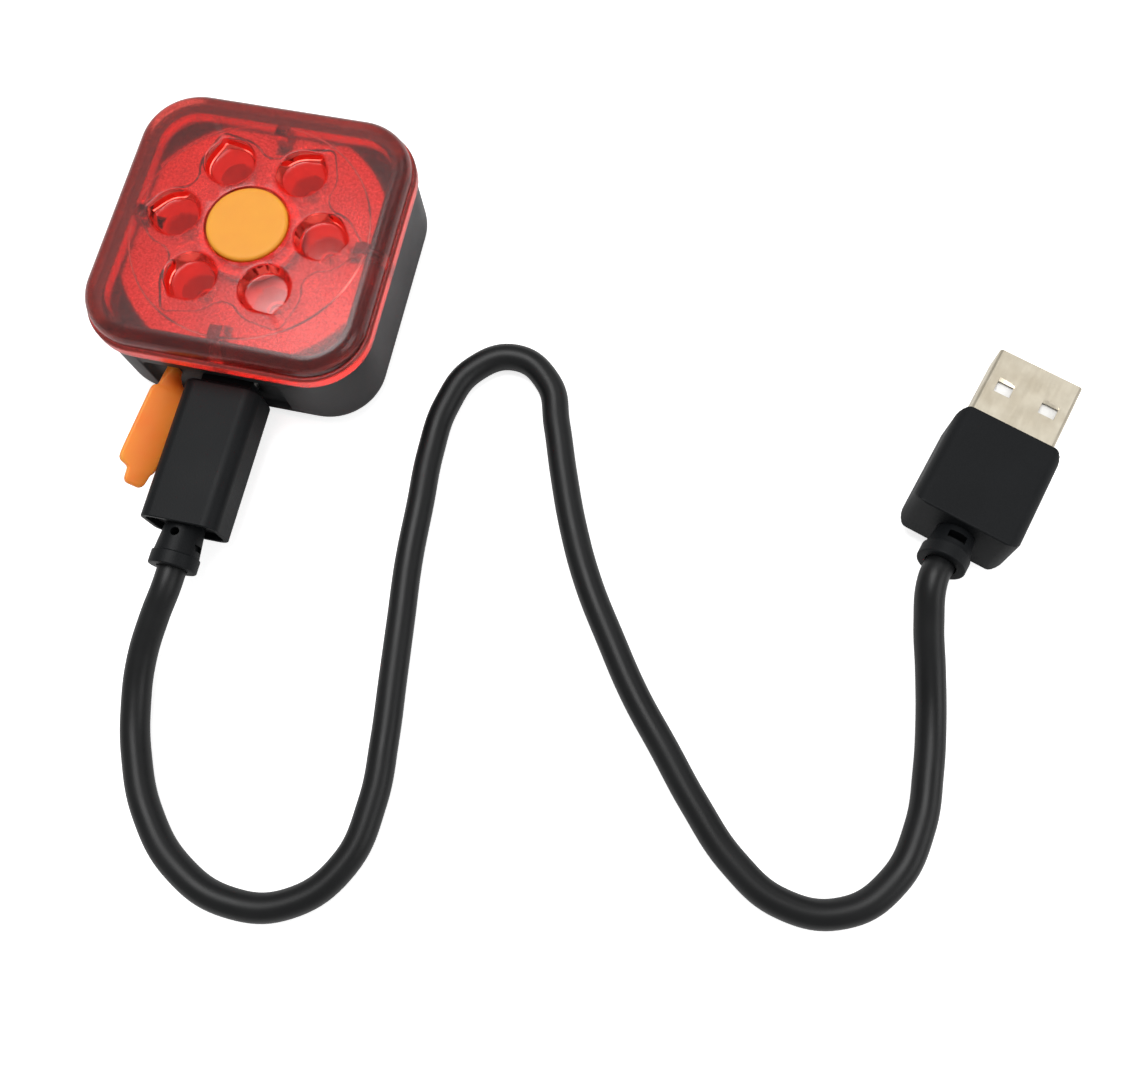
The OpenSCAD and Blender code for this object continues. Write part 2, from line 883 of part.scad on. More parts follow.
// A chip under the board, with a row of legs on each long side
module chip() {
    body_z = board_z - chip_leg[2];
    color("#1c1c1e")
        union() {
            translate([-chip_size[1] / 2, -chip_size[0] / 2, body_z - chip_size[2]])
                cube([chip_size[1], chip_size[0], chip_size[2]]);
            for (i = [0:chip_legs - 1])
                translate([
                    -chip_size[1] / 2 - chip_leg[1] / 2,
                    (i - (chip_legs - 1) / 2) * chip_pitch - chip_leg[0] / 2,
                    body_z - chip_leg[2]
                ])
                    cube([chip_size[1] + chip_leg[1], chip_leg[0], 2 * chip_leg[2]]);
        }
}

module charge_chip() {
    translate([-chip_at[0], chip_at[1], 0])
        chip();
}

module control_chip() {
    translate([chip_at[0], chip_at[1], 0])
        chip();
}

module socket_shell() {
    color("#c4c6c8")
        translate([0, 0, port_z])
            run_y(socket_front_y, socket_rear_y)
                difference() {
                    port_outline(socket_w, socket_h);
                    port_outline(socket_w - 2 * socket_wall, socket_h - 2 * socket_wall);
                }
}

module socket_tongue() {
    back_y = socket_rear_y - socket_back_t;
    back_w = socket_w - 2 * socket_wall - press_gap;
    back_h = socket_h - 2 * socket_wall - press_gap;
    color("#1d1d1f")
        union() {
            translate([0, 0, port_z])
                run_y(back_y, socket_rear_y)
                    port_outline(back_w, back_h);
            translate([-tongue_w / 2, socket_front_y + 0.7, tongue_z])
                cube([tongue_w, back_y - socket_front_y - 0.5, tongue_t]);
        }
}

// A row of flat contacts along Y, side by side
module contact_row(count, pitch, size, y, z) {
    for (i = [0:count - 1])
        translate([(i - (count - 1) / 2) * pitch - size[0] / 2, y, z])
            cube(size);
}

module socket_contacts() {
    y = socket_front_y + 1;
    color("#d9b65c")
        contact_row(
            contacts, contact_pitch,
            [contact_w, socket_rear_y - socket_back_t - y, contact_t],
            y, tongue_z - contact_t
        );
}

// Fixed end of the flap: a head behind the wall, a stem through it and a strap to the hinge line
module flap_strap() {
    stem_rear_y = recess_y + block_t;
    color("#f08a2e")
        union() {
            translate([hinge_at[0] - strap_head[0] / 2, stem_rear_y, hinge_at[2] - strap_head[2] / 2])
                cube(strap_head);
            translate([0, 0, hinge_at[2]])
                translate([hinge_at[0], 0, 0])
                    run_y(recess_y - 0.3, stem_rear_y + 0.3)
                        square(strap_stem, center = true);
            translate([hinge_at[0] - strap_t / 2, hinge_at[1], hinge_at[2] - strap_h / 2])
                cube([strap_t, recess_y - hinge_at[1], strap_h]);
            translate([hinge_at[0], hinge_at[1], hinge_at[2] - strap_h / 2])
                cylinder(d = strap_t, h = strap_h);
        }
}

// The open flap. At the hinge line its length runs along -Y and its inner side faces +X.
module port_flap() {
    neck_start = strap_t / 2 + hinge_gap;
    plate_start = neck_start + flap_neck_l;
    tab_start = plate_start + flap_l + flap_tab[0];
    boss_y = -strap_x - flap_boss[0] / 2;
    boss_z = port_z - strap_z - flap_boss[1] / 2;
    color("#f08a2e")
        translate(hinge_at)
            rotate([0, 0, -flap_swing])
                rotate([0, -flap_lean, 0])
                    union() {
                        translate([-strap_t / 2, -plate_start - 0.5, -strap_h / 2])
                            cube([strap_t, flap_neck_l + 0.5, strap_h]);
                        translate([0, -plate_start - flap_l / 2, -flap_drop])
                            flap_plate();
                        translate([-flap_t / 2, -tab_start, -flap_drop - flap_h / 2 + 0.5])
                            flap_pull_tab();
                        translate([flap_t / 2 - 0.2, boss_y, boss_z])
                            cube([flap_boss[2] + 0.2, flap_boss[0], flap_boss[1]]);
                    }
}

module flap_plate() {
    translate([-flap_t / 2, 0, 0])
        rotate([90, 0, 90])
            linear_extrude(flap_t)
                round_rect(flap_l, flap_h, flap_corner_r);
}

module flap_pull_tab() {
    translate([0, flap_tab[0], flap_tab[1] / 2])
        rotate([90, 0, 90])
            linear_extrude(flap_t)
                round_rect(2 * flap_tab[0], flap_tab[1], flap_corner_r);
}

// Its rear end is hollowed round the collar
module small_plug_body() {
    pocket_y = small_rear_y + small_pocket;
    color("#1f2022")
        difference() {
            union() {
                translate([0, 0, port_z])
                    difference() {
                        run_y(small_rear_y, plug_front_y)
                            round_rect(small_body_w, small_body_h, small_body_r);
                        run_y(small_rear_y - 1, pocket_y)
                            round_rect(
                                small_body_w - 2 * small_rim, small_body_h - 2 * small_rim,
                                small_body_r - small_rim
                            );
                    }
                translate([0, pocket_y + 0.5, port_z])
                    collar(collar_l + small_pocket + 0.5);
            }
            translate([0, small_rear_y - 1.1, port_z])
                cylinder(d = 1.2, h = small_body_h);
            for (side = [-1, 1])
                translate([side * (collar_r + 0.6), small_rear_y - 2.4, port_z])
                    cube([3, 0.8, 2.4], center = true);
        }
}

module small_plug_shell() {
    in_w = small_shell_w - 2 * small_shell_wall;
    in_h = small_shell_h - 2 * small_shell_wall;
    color("#c9cbcd")
        translate([0, 0, port_z])
            run_y(plug_front_y, plug_tip_y)
                difference() {
                    port_outline(small_shell_w, small_shell_h);
                    port_outline(in_w, in_h);
                }
}

module small_plug_insert() {
    in_w = small_shell_w - 2 * small_shell_wall - press_gap;
    in_h = small_shell_h - 2 * small_shell_wall - press_gap;
    color("#1d1d1f")
        translate([0, 0, port_z])
            difference() {
                run_y(plug_front_y, plug_tip_y - 0.2)
                    port_outline(in_w, in_h);
                translate([-in_w, plug_front_y + insert_base_l, -press_gap])
                    cube([2 * in_w, plug_tip_y - plug_front_y, in_h]);
            }
}

module small_plug_contacts() {
    y = plug_front_y + insert_base_l;
    color("#d9b65c")
        contact_row(
            contacts, contact_pitch,
            [contact_w, plug_tip_y - 0.4 - y, contact_t],
            y, port_z - press_gap
        );
}

module cable() {
    color("#161718")
        tube(cable_points, cable_d, cable_sides);
}

// Places the supply plug. Its own origin is the middle of its body's front face, with its tip at +Y.
module at_supply() {
    translate(supply_at)
        rotate([0, 0, -supply_turn])
            rotate([-supply_tilt, 0, 0])
                children();
}

module supply_plug_body() {
    window_y = -supply_body_l - 1.5;
    color("#1f2022")
        at_supply()
            difference() {
                union() {
                    intersection() {
                        run_y(-supply_body_l, 0)
                            round_rect(supply_body_w, supply_body_h, supply_body_r);
                        translate([0, -supply_body_l / 2, -supply_body_h])
                            linear_extrude(2 * supply_body_h)
                                round_rect(supply_body_w, supply_body_l, supply_corner_r);
                    }
                    translate([0, -supply_body_l + 0.5, 0])
                        collar(supply_collar_l + 0.5);
                }
                translate([-1.2, window_y - 0.6, 1])
                    cube([2.4, 1.2, supply_body_h]);
            }
}

module supply_plug_shell() {
    in_w = supply_shell_w - 2 * supply_shell_wall;
    in_h = supply_shell_h - 2 * supply_shell_wall;
    color("#d7cdb9")
        at_supply()
            difference() {
                run_y(0, supply_shell_l)
                    difference() {
                        round_rect(supply_shell_w, supply_shell_h, supply_shell_r);
                        round_rect(in_w, in_h, supply_shell_r - 0.2);
                    }
                for (side = [-1, 1])
                    translate([side * latch_at[0], latch_at[1], 0]) {
                        cube([latch_window[0], latch_window[1], 2 * supply_shell_h], center = true);
                        translate([0, latch_window[1] / 2, supply_shell_h / 2])
                            latch_bevel();
                    }
            }
}

// Bevel of a latch window, on its edge towards the tip
module latch_bevel() {
    translate([-latch_window[0] / 2, 0, 0])
        rotate([90, 0, 90])
            linear_extrude(latch_window[0])
                polygon([
                    [-0.1, -latch_lip[1]],
                    [0, -latch_lip[1]],
                    [latch_lip[0], 0],
                    [latch_lip[0], 0.1],
                    [-0.1, 0.1]
                ]);
}

// Tongue in the upper half of the shell, so that it shows through the latch windows
module supply_plug_tongue() {
    in_w = supply_shell_w - 2 * supply_shell_wall;
    in_h = supply_shell_h - 2 * supply_shell_wall;
    color("#ece9e2")
        at_supply()
            translate([-in_w / 2 + supply_shell_r, 0, in_h / 2 - supply_tongue_t - supply_tongue_gap])
                cube([in_w - 2 * supply_shell_r, supply_shell_l - 0.6, supply_tongue_t]);
}

module supply_plug_contacts() {
    in_h = supply_shell_h - 2 * supply_shell_wall;
    color("#d9b65c")
        at_supply()
            contact_row(
                supply_contacts, supply_contact_pitch, supply_contact,
                supply_shell_l - 1.4 - supply_contact[1],
                in_h / 2 - supply_tongue_t - supply_tongue_gap - supply_contact[2]
            );
}

rear_housing();
lens_cover();
lens_seal();
reflector_plate();
circuit_board();
led_packages();
led_resin();
led_resistors();
switch_base();
switch_cover();
switch_plunger();
button_cap();
battery_cell();
battery_pad();
battery_lead_red();
battery_lead_black();
charge_chip();
control_chip();
socket_shell();
socket_tongue();
socket_contacts();
flap_strap();
port_flap();
small_plug_body();
small_plug_shell();
small_plug_insert();
small_plug_contacts();
cable();
supply_plug_body();
supply_plug_shell();
supply_plug_tongue();
supply_plug_contacts();
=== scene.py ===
# %% [markdown]
# # A square bike rear light and its charging lead
# The light lies on its back with its lead plugged in. The packed CAD part is the skeleton of
# this scene: it gives every piece its place and every joint its motion. Here each piece gets
# the rounded edges, the surface and the light that it has in real life.

# %% Load the packed part
import json
import math

import bmesh
import bpy
from mathutils import Matrix, Vector


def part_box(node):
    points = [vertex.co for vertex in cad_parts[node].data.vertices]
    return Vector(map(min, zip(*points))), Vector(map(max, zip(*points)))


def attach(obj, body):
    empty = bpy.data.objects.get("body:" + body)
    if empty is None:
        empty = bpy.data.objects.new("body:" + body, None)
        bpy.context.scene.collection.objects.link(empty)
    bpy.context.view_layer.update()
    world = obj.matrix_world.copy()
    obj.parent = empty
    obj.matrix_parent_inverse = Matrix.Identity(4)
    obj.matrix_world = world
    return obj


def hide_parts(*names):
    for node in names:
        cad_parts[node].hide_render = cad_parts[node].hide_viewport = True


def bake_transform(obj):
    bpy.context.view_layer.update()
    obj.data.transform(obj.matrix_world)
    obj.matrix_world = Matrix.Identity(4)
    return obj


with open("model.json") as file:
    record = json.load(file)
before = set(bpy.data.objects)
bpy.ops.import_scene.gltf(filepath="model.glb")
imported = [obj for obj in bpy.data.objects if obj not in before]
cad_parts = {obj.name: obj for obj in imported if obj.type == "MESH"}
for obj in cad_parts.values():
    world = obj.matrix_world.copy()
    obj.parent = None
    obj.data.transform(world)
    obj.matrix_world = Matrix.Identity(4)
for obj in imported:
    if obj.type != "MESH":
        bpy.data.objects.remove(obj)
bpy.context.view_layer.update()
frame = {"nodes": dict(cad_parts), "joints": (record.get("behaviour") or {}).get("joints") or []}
scene = bpy.context.scene
scene.view_settings.view_transform = "Standard"
MM = 0.001
print("pieces in the frame:", len(frame["nodes"]))

# %% [markdown]
# ## The camera
# A product photograph taken from above has a steep pitch, a little yaw and a little roll. Blender
# could aim the camera with a Track To constraint, but that leaves the roll open. So the three
# angles are turned into the camera's right, up and forward arrows, which are the columns of its
# matrix. A focal length in pixels becomes a lens in millimetres through the sensor's width.

# %% Camera
PHOTO_WIDTH = 1125
FOCAL_PIXELS = 1091
SENSOR_MM = 36
NEAREST_SEEN = 5 * MM
CAMERA_PLACE = Vector((64.72, -71.32, 143.67)) * MM
CAMERA_YAW, CAMERA_PITCH, CAMERA_ROLL = (math.radians(a) for a in (-20.58, 72.91, -8.70))


def camera_arrows(yaw, pitch, roll):
    """Right, up and forward arrows of a camera that is turned, tipped down and rolled."""
    ahead = Vector((math.sin(yaw), math.cos(yaw), 0))
    right = Vector((math.cos(yaw), -math.sin(yaw), 0))
    straight_up = Vector((0, 0, 1))
    forward = ahead * math.cos(pitch) - straight_up * math.sin(pitch)
    up = straight_up * math.cos(pitch) + ahead * math.sin(pitch)
    rolled_right = right * math.cos(roll) + up * math.sin(roll)
    rolled_up = up * math.cos(roll) - right * math.sin(roll)
    return rolled_right, rolled_up, forward


def add_camera():
    data = bpy.data.cameras.new("photo_camera")
    data.sensor_width = SENSOR_MM
    data.lens = SENSOR_MM * FOCAL_PIXELS / PHOTO_WIDTH
    data.clip_start = NEAREST_SEEN
    camera = bpy.data.objects.new("photo_camera", data)
    scene.collection.objects.link(camera)
    right, up, forward = camera_arrows(CAMERA_YAW, CAMERA_PITCH, CAMERA_ROLL)
    turn = Matrix((right, up, -forward)).transposed().to_4x4()
    camera.matrix_world = Matrix.Translation(CAMERA_PLACE) @ turn
    scene.camera = camera


add_camera()
print("camera lens:", round(scene.camera.data.lens, 2), "mm")

# %% [markdown]
# ## Helpers for nodes
# The world, the table and every finish are trees of nodes. Placing each node and each link by
# hand takes many lines that look alike, so one helper adds a node and fills its inputs: a socket
# is linked and anything else is set as a value.

# %% Node helpers


def connect(tree, node, inputs):
    """Fills inputs, named or numbered, with a link from a socket or with a plain value."""
    for key, value in inputs.items():
        if isinstance(value, bpy.types.NodeSocket):
            tree.links.new(value, node.inputs[key])
        else:
            node.inputs[key].default_value = value
    return node


def add_node(tree, kind, inputs=None, **settings):
    """A new node with its settings and its inputs filled."""
    node = tree.nodes.new(kind)
    for name, value in settings.items():
        setattr(node, name, value)
    return connect(tree, node, inputs or {})


def calculate(tree, operation, first, second):
    """One sum on two values, each of which is a socket or a number."""
    node = add_node(tree, "ShaderNodeMath", {0: first, 1: second}, operation=operation)
    return node.outputs[0]


def mix_shaders(tree, factor, first, second):
    """Shows the first shader where the factor is 0 and the second where it is 1."""
    node = add_node(tree, "ShaderNodeMixShader", {"Fac": factor, 1: first, 2: second})
    return node.outputs[0]


print("add_node gives:", add_node.__doc__)

# %% [markdown]
# ## White room
# The photograph has no background but white. A picture of a studio could light the scene, but a
# plain world is enough: it adds even light from all round, and shows as full white to the camera
# and through clear plastic.

# %% White world
AMBIENT, FULL_WHITE = 0.45, 1
WHITE = (1, 1, 1, 1)


def white_world():
    world = bpy.data.worlds.new("white_room")
    world.use_nodes = True
    tree = world.node_tree
    tree.nodes.clear()
    rays = add_node(tree, "ShaderNodeLightPath").outputs
    seen = calculate(tree, "MAXIMUM", rays["Is Camera Ray"], rays["Is Transmission Ray"])
    lit, shown = (add_node(tree, "ShaderNodeBackground", {"Color": WHITE, "Strength": strength})
                  for strength in (AMBIENT, FULL_WHITE))
    room = mix_shaders(tree, seen, lit.outputs[0], shown.outputs[0])
    add_node(tree, "ShaderNodeOutputWorld", {"Surface": room})
    scene.world = world


white_world()
print("ambient light:", AMBIENT)

# %% [markdown]
# ## Lamps
# There is one broad soft light overhead and a weaker one at the side. A card lights the steel of
# the supply plug, and a small one lays a haze over one corner of the lens. Sun or point lamps
# would draw hard shadows, so all four are square area lamps.

# %% Lamps
AIM = Vector((30, -20, 5)) * MM


def soft_lamp(name, place_mm, side_mm, watts):
    """A square area lamp that points at the middle of the table."""
    data = bpy.data.lights.new(name, "AREA")
    data.shape = "SQUARE"
    data.size = side_mm * MM
    data.energy = watts
    lamp = bpy.data.objects.new(name, data)
    lamp.location = Vector(place_mm) * MM
    lamp.rotation_euler = (AIM - lamp.location).to_track_quat("-Z", "Y").to_euler()
    scene.collection.objects.link(lamp)


soft_lamp("overhead_softbox", (-45, 85, 550), side_mm=300, watts=1.9)
soft_lamp("side_softbox", (520, -60, 300), side_mm=300, watts=0.65)
soft_lamp("reflector_card", (300, 390, 420), side_mm=260, watts=0.22)
soft_lamp("haze_card", (-141, 161, 403), side_mm=60, watts=0.1)

# %% [markdown]
# ## Table
# The white paper under the light is one large square. More light would make it white, but would
# bleach the object too. Instead the paper is lifted by a little glow that only the camera sees,
# so it still shows soft shadows.

# %% Table
TABLE_HALF = 1.5
PAPER_WHITE, PAPER_LIFT = (0.86, 0.86, 0.86, 1), 0.7


def new_material(name):
    """A material with its node tree and its shader."""
    material = bpy.data.materials.new(name)
    material.use_nodes = True
    return material, material.node_tree, material.node_tree.nodes["Principled BSDF"]


def table_paper():
    material, tree, shader = new_material("table_white")
    tree.nodes.remove(shader)
    rays = add_node(tree, "ShaderNodeLightPath").outputs
    paper = add_node(tree, "ShaderNodeBsdfDiffuse", {"Color": PAPER_WHITE}).outputs[0]
    lift = add_node(tree, "ShaderNodeEmission", {"Strength": PAPER_LIFT}).outputs[0]
    lifted = add_node(tree, "ShaderNodeAddShader", {0: paper, 1: lift}).outputs[0]
    shown = mix_shaders(tree, rays["Is Camera Ray"], paper, lifted)
    connect(tree, tree.nodes["Material Output"], {"Surface": shown})
    return material


def white_table():
    mesh = bpy.data.meshes.new("table_top")
    signs = ((-1, -1), (1, -1), (1, 1), (-1, 1))
    corners = [(x * TABLE_HALF, y * TABLE_HALF, 0) for x, y in signs]
    mesh.from_pydata(corners, [], [(0, 1, 2, 3)])
    table = bpy.data.objects.new("table_top", mesh)
    scene.collection.objects.link(table)
    mesh.materials.append(table_paper())


white_table()
print("table:", 2 * TABLE_HALF, "m square")

# %% [markdown]
# ## Shared surface effects
# Moulded plastic and rubber are never one even colour: there is a slow mottle from handling and
# a fine grain from the mould. Rolled steel has streaks and faint clouds. Pictures could show
# that, but noise on Object coordinates stays with the piece and needs no unwrapping. Two shader
# node groups hold the effects, and each material places a group with its own scales.

# %% Moulded surface group


def new_group(name, inputs, outputs):
    """An empty shader node group with float inputs (name: value) and float outputs."""
    group = bpy.data.node_groups.new(name, "ShaderNodeTree")
    for socket_name, value in inputs.items():
        socket = group.interface.new_socket(
            socket_name, in_out="INPUT", socket_type="NodeSocketFloat")
        socket.default_value = value
    for socket_name in outputs:
        group.interface.new_socket(socket_name, in_out="OUTPUT", socket_type="NodeSocketFloat")
    return group, group.nodes.new("NodeGroupInput").outputs


def noise(tree, vector, scale, detail):
    node = add_node(
        tree, "ShaderNodeTexNoise", {"Vector": vector, "Scale": scale, "Detail": detail})
    return node.outputs["Fac"]


def moulded_surface_group():
    """Mottle: slow change over the piece. Grain: fine mould texture. Scales are per metre."""
    group, given = new_group(
        "moulded_surface", {"Mottle Scale": 120, "Grain Scale": 4000}, ("Mottle", "Grain"))
    place = add_node(group, "ShaderNodeTexCoord").outputs["Object"]
    add_node(group, "NodeGroupOutput", {
        "Mottle": noise(group, place, given["Mottle Scale"], detail=4),
        "Grain": noise(group, place, given["Grain Scale"], detail=2)})
    return group


MOULDED = moulded_surface_group()
print("node group:", MOULDED.name)

# %% Drawn metal group
STREAK_STRETCH = (1, 0.04, 1)


def drawn_metal_group():
    """Lines: streaks along one direction, as rolling leaves them on sheet. Turn is in radians."""
    group, given = new_group(
        "drawn_metal", {"Turn": 0, "Streak Scale": 2500, "Cloud Scale": 300}, ("Lines", "Cloud"))
    place = add_node(group, "ShaderNodeTexCoord").outputs["Object"]
    angle = add_node(group, "ShaderNodeCombineXYZ", {"Z": given["Turn"]}).outputs[0]
    along = add_node(group, "ShaderNodeMapping", {"Vector": place, "Rotation": angle},
                     vector_type="POINT").outputs[0]
    stretched = add_node(group, "ShaderNodeVectorMath", {0: along, 1: STREAK_STRETCH},
                         operation="MULTIPLY").outputs[0]
    add_node(group, "NodeGroupOutput", {
        "Lines": noise(group, stretched, given["Streak Scale"], detail=3),
        "Cloud": noise(group, place, given["Cloud Scale"], detail=3)})
    return group


DRAWN = drawn_metal_group()
print("node group:", DRAWN.name)

# %% [markdown]
# ## Moulded plastics and rubbers
# Housing, plugs, cable, button and flap are all moulded, so one function makes their finishes
# instead of one tree for each. The mottle mixes two near colours and moves the roughness a
# little, and the grain drives a shallow bump.

# %% A moulded finish
# Noise hardly ever leaves this range, so it is stretched from here to 0 and 1.
NOISE_LOW, NOISE_HIGH = 0.3, 0.7


def rgb(red, green, blue):
    """A screen colour of 0 to 255 as the linear colour that shaders use."""
    def linear(value):
        value /= 255
        return value / 12.92 if value <= 0.04045 else ((value + 0.055) / 1.055) ** 2.4
    return (linear(red), linear(green), linear(blue), 1)


def map_range(tree, value, low, high, from_low=NOISE_LOW, from_high=NOISE_HIGH):
    node = add_node(tree, "ShaderNodeMapRange", {
        "Value": value, "From Min": from_low, "From Max": from_high,
        "To Min": low, "To Max": high})
    return node.outputs["Result"]


def mix_colours(tree, factor, dark, light):
    node = add_node(tree, "ShaderNodeMix", {"Factor": factor}, data_type="RGBA")
    colours = [socket for socket in node.inputs if socket.type == "RGBA"]
    colours[0].default_value, colours[1].default_value = dark, light
    return next(socket for socket in node.outputs if socket.type == "RGBA")


def bump(tree, height, depth_mm, strength=1.0):
    node = add_node(tree, "ShaderNodeBump", {
        "Height": height, "Distance": depth_mm * MM, "Strength": strength})
    return node.outputs["Normal"]


def moulded(name, dark, light, rough, mottle_mm=8, grain_mm=0.25, grain_depth_mm=0.02):
    """A moulded plastic or rubber between two colours, with roughness from rough[0] to rough[1]."""
    material, tree, shader = new_material(name)
    surface = add_node(tree, "ShaderNodeGroup", {
        "Mottle Scale": 1 / (mottle_mm * MM), "Grain Scale": 1 / (grain_mm * MM)},
        node_tree=MOULDED).outputs
    spread = map_range(tree, surface["Mottle"], 0, 1)
    connect(tree, shader, {
        "Base Color": mix_colours(tree, spread, rgb(*dark), rgb(*light)),
        "Roughness": map_range(tree, surface["Mottle"], *rough),
        "Normal": bump(tree, surface["Grain"], grain_depth_mm)})
    return material


print("a mid grey of 128 is", round(rgb(128, 128, 128)[0], 3), "in a shader")

# %% [markdown]
# Now the finishes. The dark ones shine less than Blender's default. Silicone and rubber let light
# soak in, which warms their edges. Such values are the same all over, so they are set on the
# shader's own sockets.

# %% Moulded finishes
SMOOTH = 0.004
housing_grey = moulded("housing_grey", (31, 32, 34), (39, 40, 42), (0.42, 0.52))
overmould_black = moulded(
    "overmould_black", (12, 14, 16), (18, 20, 22), (0.45, 0.55), grain_mm=0.2)
sheath_black = moulded(
    "sheath_black", (12, 13, 14), (18, 19, 20), (0.36, 0.46), grain_depth_mm=SMOOTH)
seal_black = moulded("seal_black", (20, 20, 20), (30, 30, 30), (0.6, 0.7))
button_silicone = moulded("button_silicone", (228, 150, 34), (233, 158, 42), (0.5, 0.6),
                          mottle_mm=6, grain_depth_mm=SMOOTH)
flap_rubber = moulded("flap_rubber", (255, 136, 44), (255, 150, 54), (0.45, 0.55),
                      mottle_mm=5, grain_depth_mm=SMOOTH)
reflector_white = moulded(
    "reflector_white", (200, 198, 190), (210, 208, 202), (0.3, 0.4), mottle_mm=5)
board_white = moulded(
    "board_white", (232, 226, 214), (246, 242, 232), (0.35, 0.5), mottle_mm=4)
led_white = moulded("led_white", (236, 232, 222), (246, 243, 236), (0.3, 0.4), mottle_mm=2)
tongue_white = moulded(
    "tongue_white", (236, 235, 232), (248, 247, 245), (0.35, 0.45), mottle_mm=4)
chip_black = moulded("chip_black", (24, 24, 26), (34, 34, 36), (0.45, 0.6), mottle_mm=1.5)
plunger_grey = moulded(
    "plunger_grey", (205, 205, 200), (222, 222, 218), (0.35, 0.45), mottle_mm=2)
pad_foam = moulded("pad_foam", (50, 50, 50), (66, 66, 64), (0.85, 0.95),
                   grain_mm=0.5, grain_depth_mm=0.15)
wire_red = moulded("wire_red", (170, 30, 26), (190, 42, 34), (0.4, 0.5))
wire_black = moulded("wire_black", (22, 22, 24), (32, 32, 34), (0.4, 0.5))


def set_plain(material, values):
    """Sets values that are the same all over a material."""
    connect(material.node_tree, material.node_tree.nodes["Principled BSDF"], values)


for black, shine in ((housing_grey, 0.35), (overmould_black, 0.17), (sheath_black, 0.3)):
    set_plain(black, {"Specular IOR Level": shine})
for rubber, weight, radius in ((button_silicone, 0.3, (1.2, 0.5, 0.15)),
                               (flap_rubber, 0.7, (3, 1.2, 0.3))):
    set_plain(rubber, {
        "Subsurface Weight": weight, "Subsurface Radius": radius, "Subsurface Scale": MM})
print("moulded materials:", len(bpy.data.materials) - 1)

# %% [markdown]
# ## Sheet metal
# The plug shells are folded from rolled steel and plated. Rolling leaves streaks along the sheet
# and the plating is slightly cloudy. The shader's Anisotropic value could stretch the highlights,
# but the streaks themselves can be seen here, so they move the roughness and the clouds tint the
# colour.

# %% Metal finishes
STREAK_DEPTH_MM, STREAK_STRENGTH = 0.004, 0.5
SUPPLY_TURN = 19


def sheet_metal(name, dark, light, rough, turn_degrees=0.0):
    material, tree, shader = new_material(name)
    surface = add_node(tree, "ShaderNodeGroup", {"Turn": math.radians(turn_degrees)},
                       node_tree=DRAWN).outputs
    spread = map_range(tree, surface["Cloud"], 0, 1)
    connect(tree, shader, {
        "Metallic": 1,
        "Base Color": mix_colours(tree, spread, rgb(*dark), rgb(*light)),
        "Roughness": map_range(tree, surface["Lines"], *rough),
        "Normal": bump(tree, surface["Lines"], STREAK_DEPTH_MM, STREAK_STRENGTH)})
    return material


plug_steel = sheet_metal(
    "plug_steel", (198, 188, 168), (218, 210, 192), (0.32, 0.44), SUPPLY_TURN)
socket_steel = sheet_metal("socket_steel", (205, 205, 203), (226, 226, 224), (0.25, 0.38))
contact_gold = sheet_metal("contact_gold", (214, 172, 92), (232, 196, 120), (0.2, 0.3))
solder_tin = sheet_metal("solder_tin", (196, 198, 200), (222, 224, 226), (0.2, 0.35))
cell_foil = sheet_metal("cell_foil", (190, 192, 196), (214, 216, 220), (0.3, 0.45))
metals = (plug_steel, socket_steel, contact_gold, solder_tin, cell_foil)
print("metal materials:", [metal.name for metal in metals])

# %% [markdown]
# ## Clear red plastic
# The lens is dyed acrylic. Its face, rim and side walls are finely frosted, which blurs what lies
# under them, while the wells and the inside are polished. Two materials would leave a hard line
# between them, so one material has a mask for the frosting, made from the position on the lens:
# high up on the face, or far out from a square as the rounded walls are.

# %% Frosting mask
LENS_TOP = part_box("lens_cover")[1].z
FACE_FROM, FACE_FULL = LENS_TOP - 0.08 * MM, LENS_TOP - 0.02 * MM
CORNER_AT = 11.5 * MM
SKIN_FROM, SKIN_FULL = 5.9 * MM, 6.1 * MM


def frosting_mask(tree):
    """1 on the flat face, the rim and the outer walls of the lens, 0 in the wells and inside."""
    place = add_node(tree, "ShaderNodeTexCoord").outputs["Object"]
    split = add_node(tree, "ShaderNodeSeparateXYZ", {0: place}).outputs
    on_face = map_range(tree, split["Z"], 0, 1, FACE_FROM, FACE_FULL)
    squares = []
    for axis in "XY":
        far = calculate(tree, "ABSOLUTE", split[axis], 0)
        past_corner = calculate(tree, "MAXIMUM", calculate(tree, "SUBTRACT", far, CORNER_AT), 0)
        squares.append(calculate(tree, "POWER", past_corner, 2))
    far_out = calculate(tree, "POWER", calculate(tree, "ADD", *squares), 0.5)
    on_skin = map_range(tree, far_out, 0, 1, SKIN_FROM, SKIN_FULL)
    return calculate(tree, "MAXIMUM", on_face, on_skin)


print("top of the lens:", round(LENS_TOP / MM, 2), "mm")

# %% [markdown]
# Lamps can't shine through refracting plastic without a lot of noise, so rays from lamps see a
# plain red filter instead. The frosted skin also gets a painted sparkle: its colour is speckled
# lighter and darker, in place of the glints that light draws on its fine pits.

# %% Clear finishes
ACRYLIC_IOR, SPECKLE_MM, HALF = 1.49, 0.3, 0.5


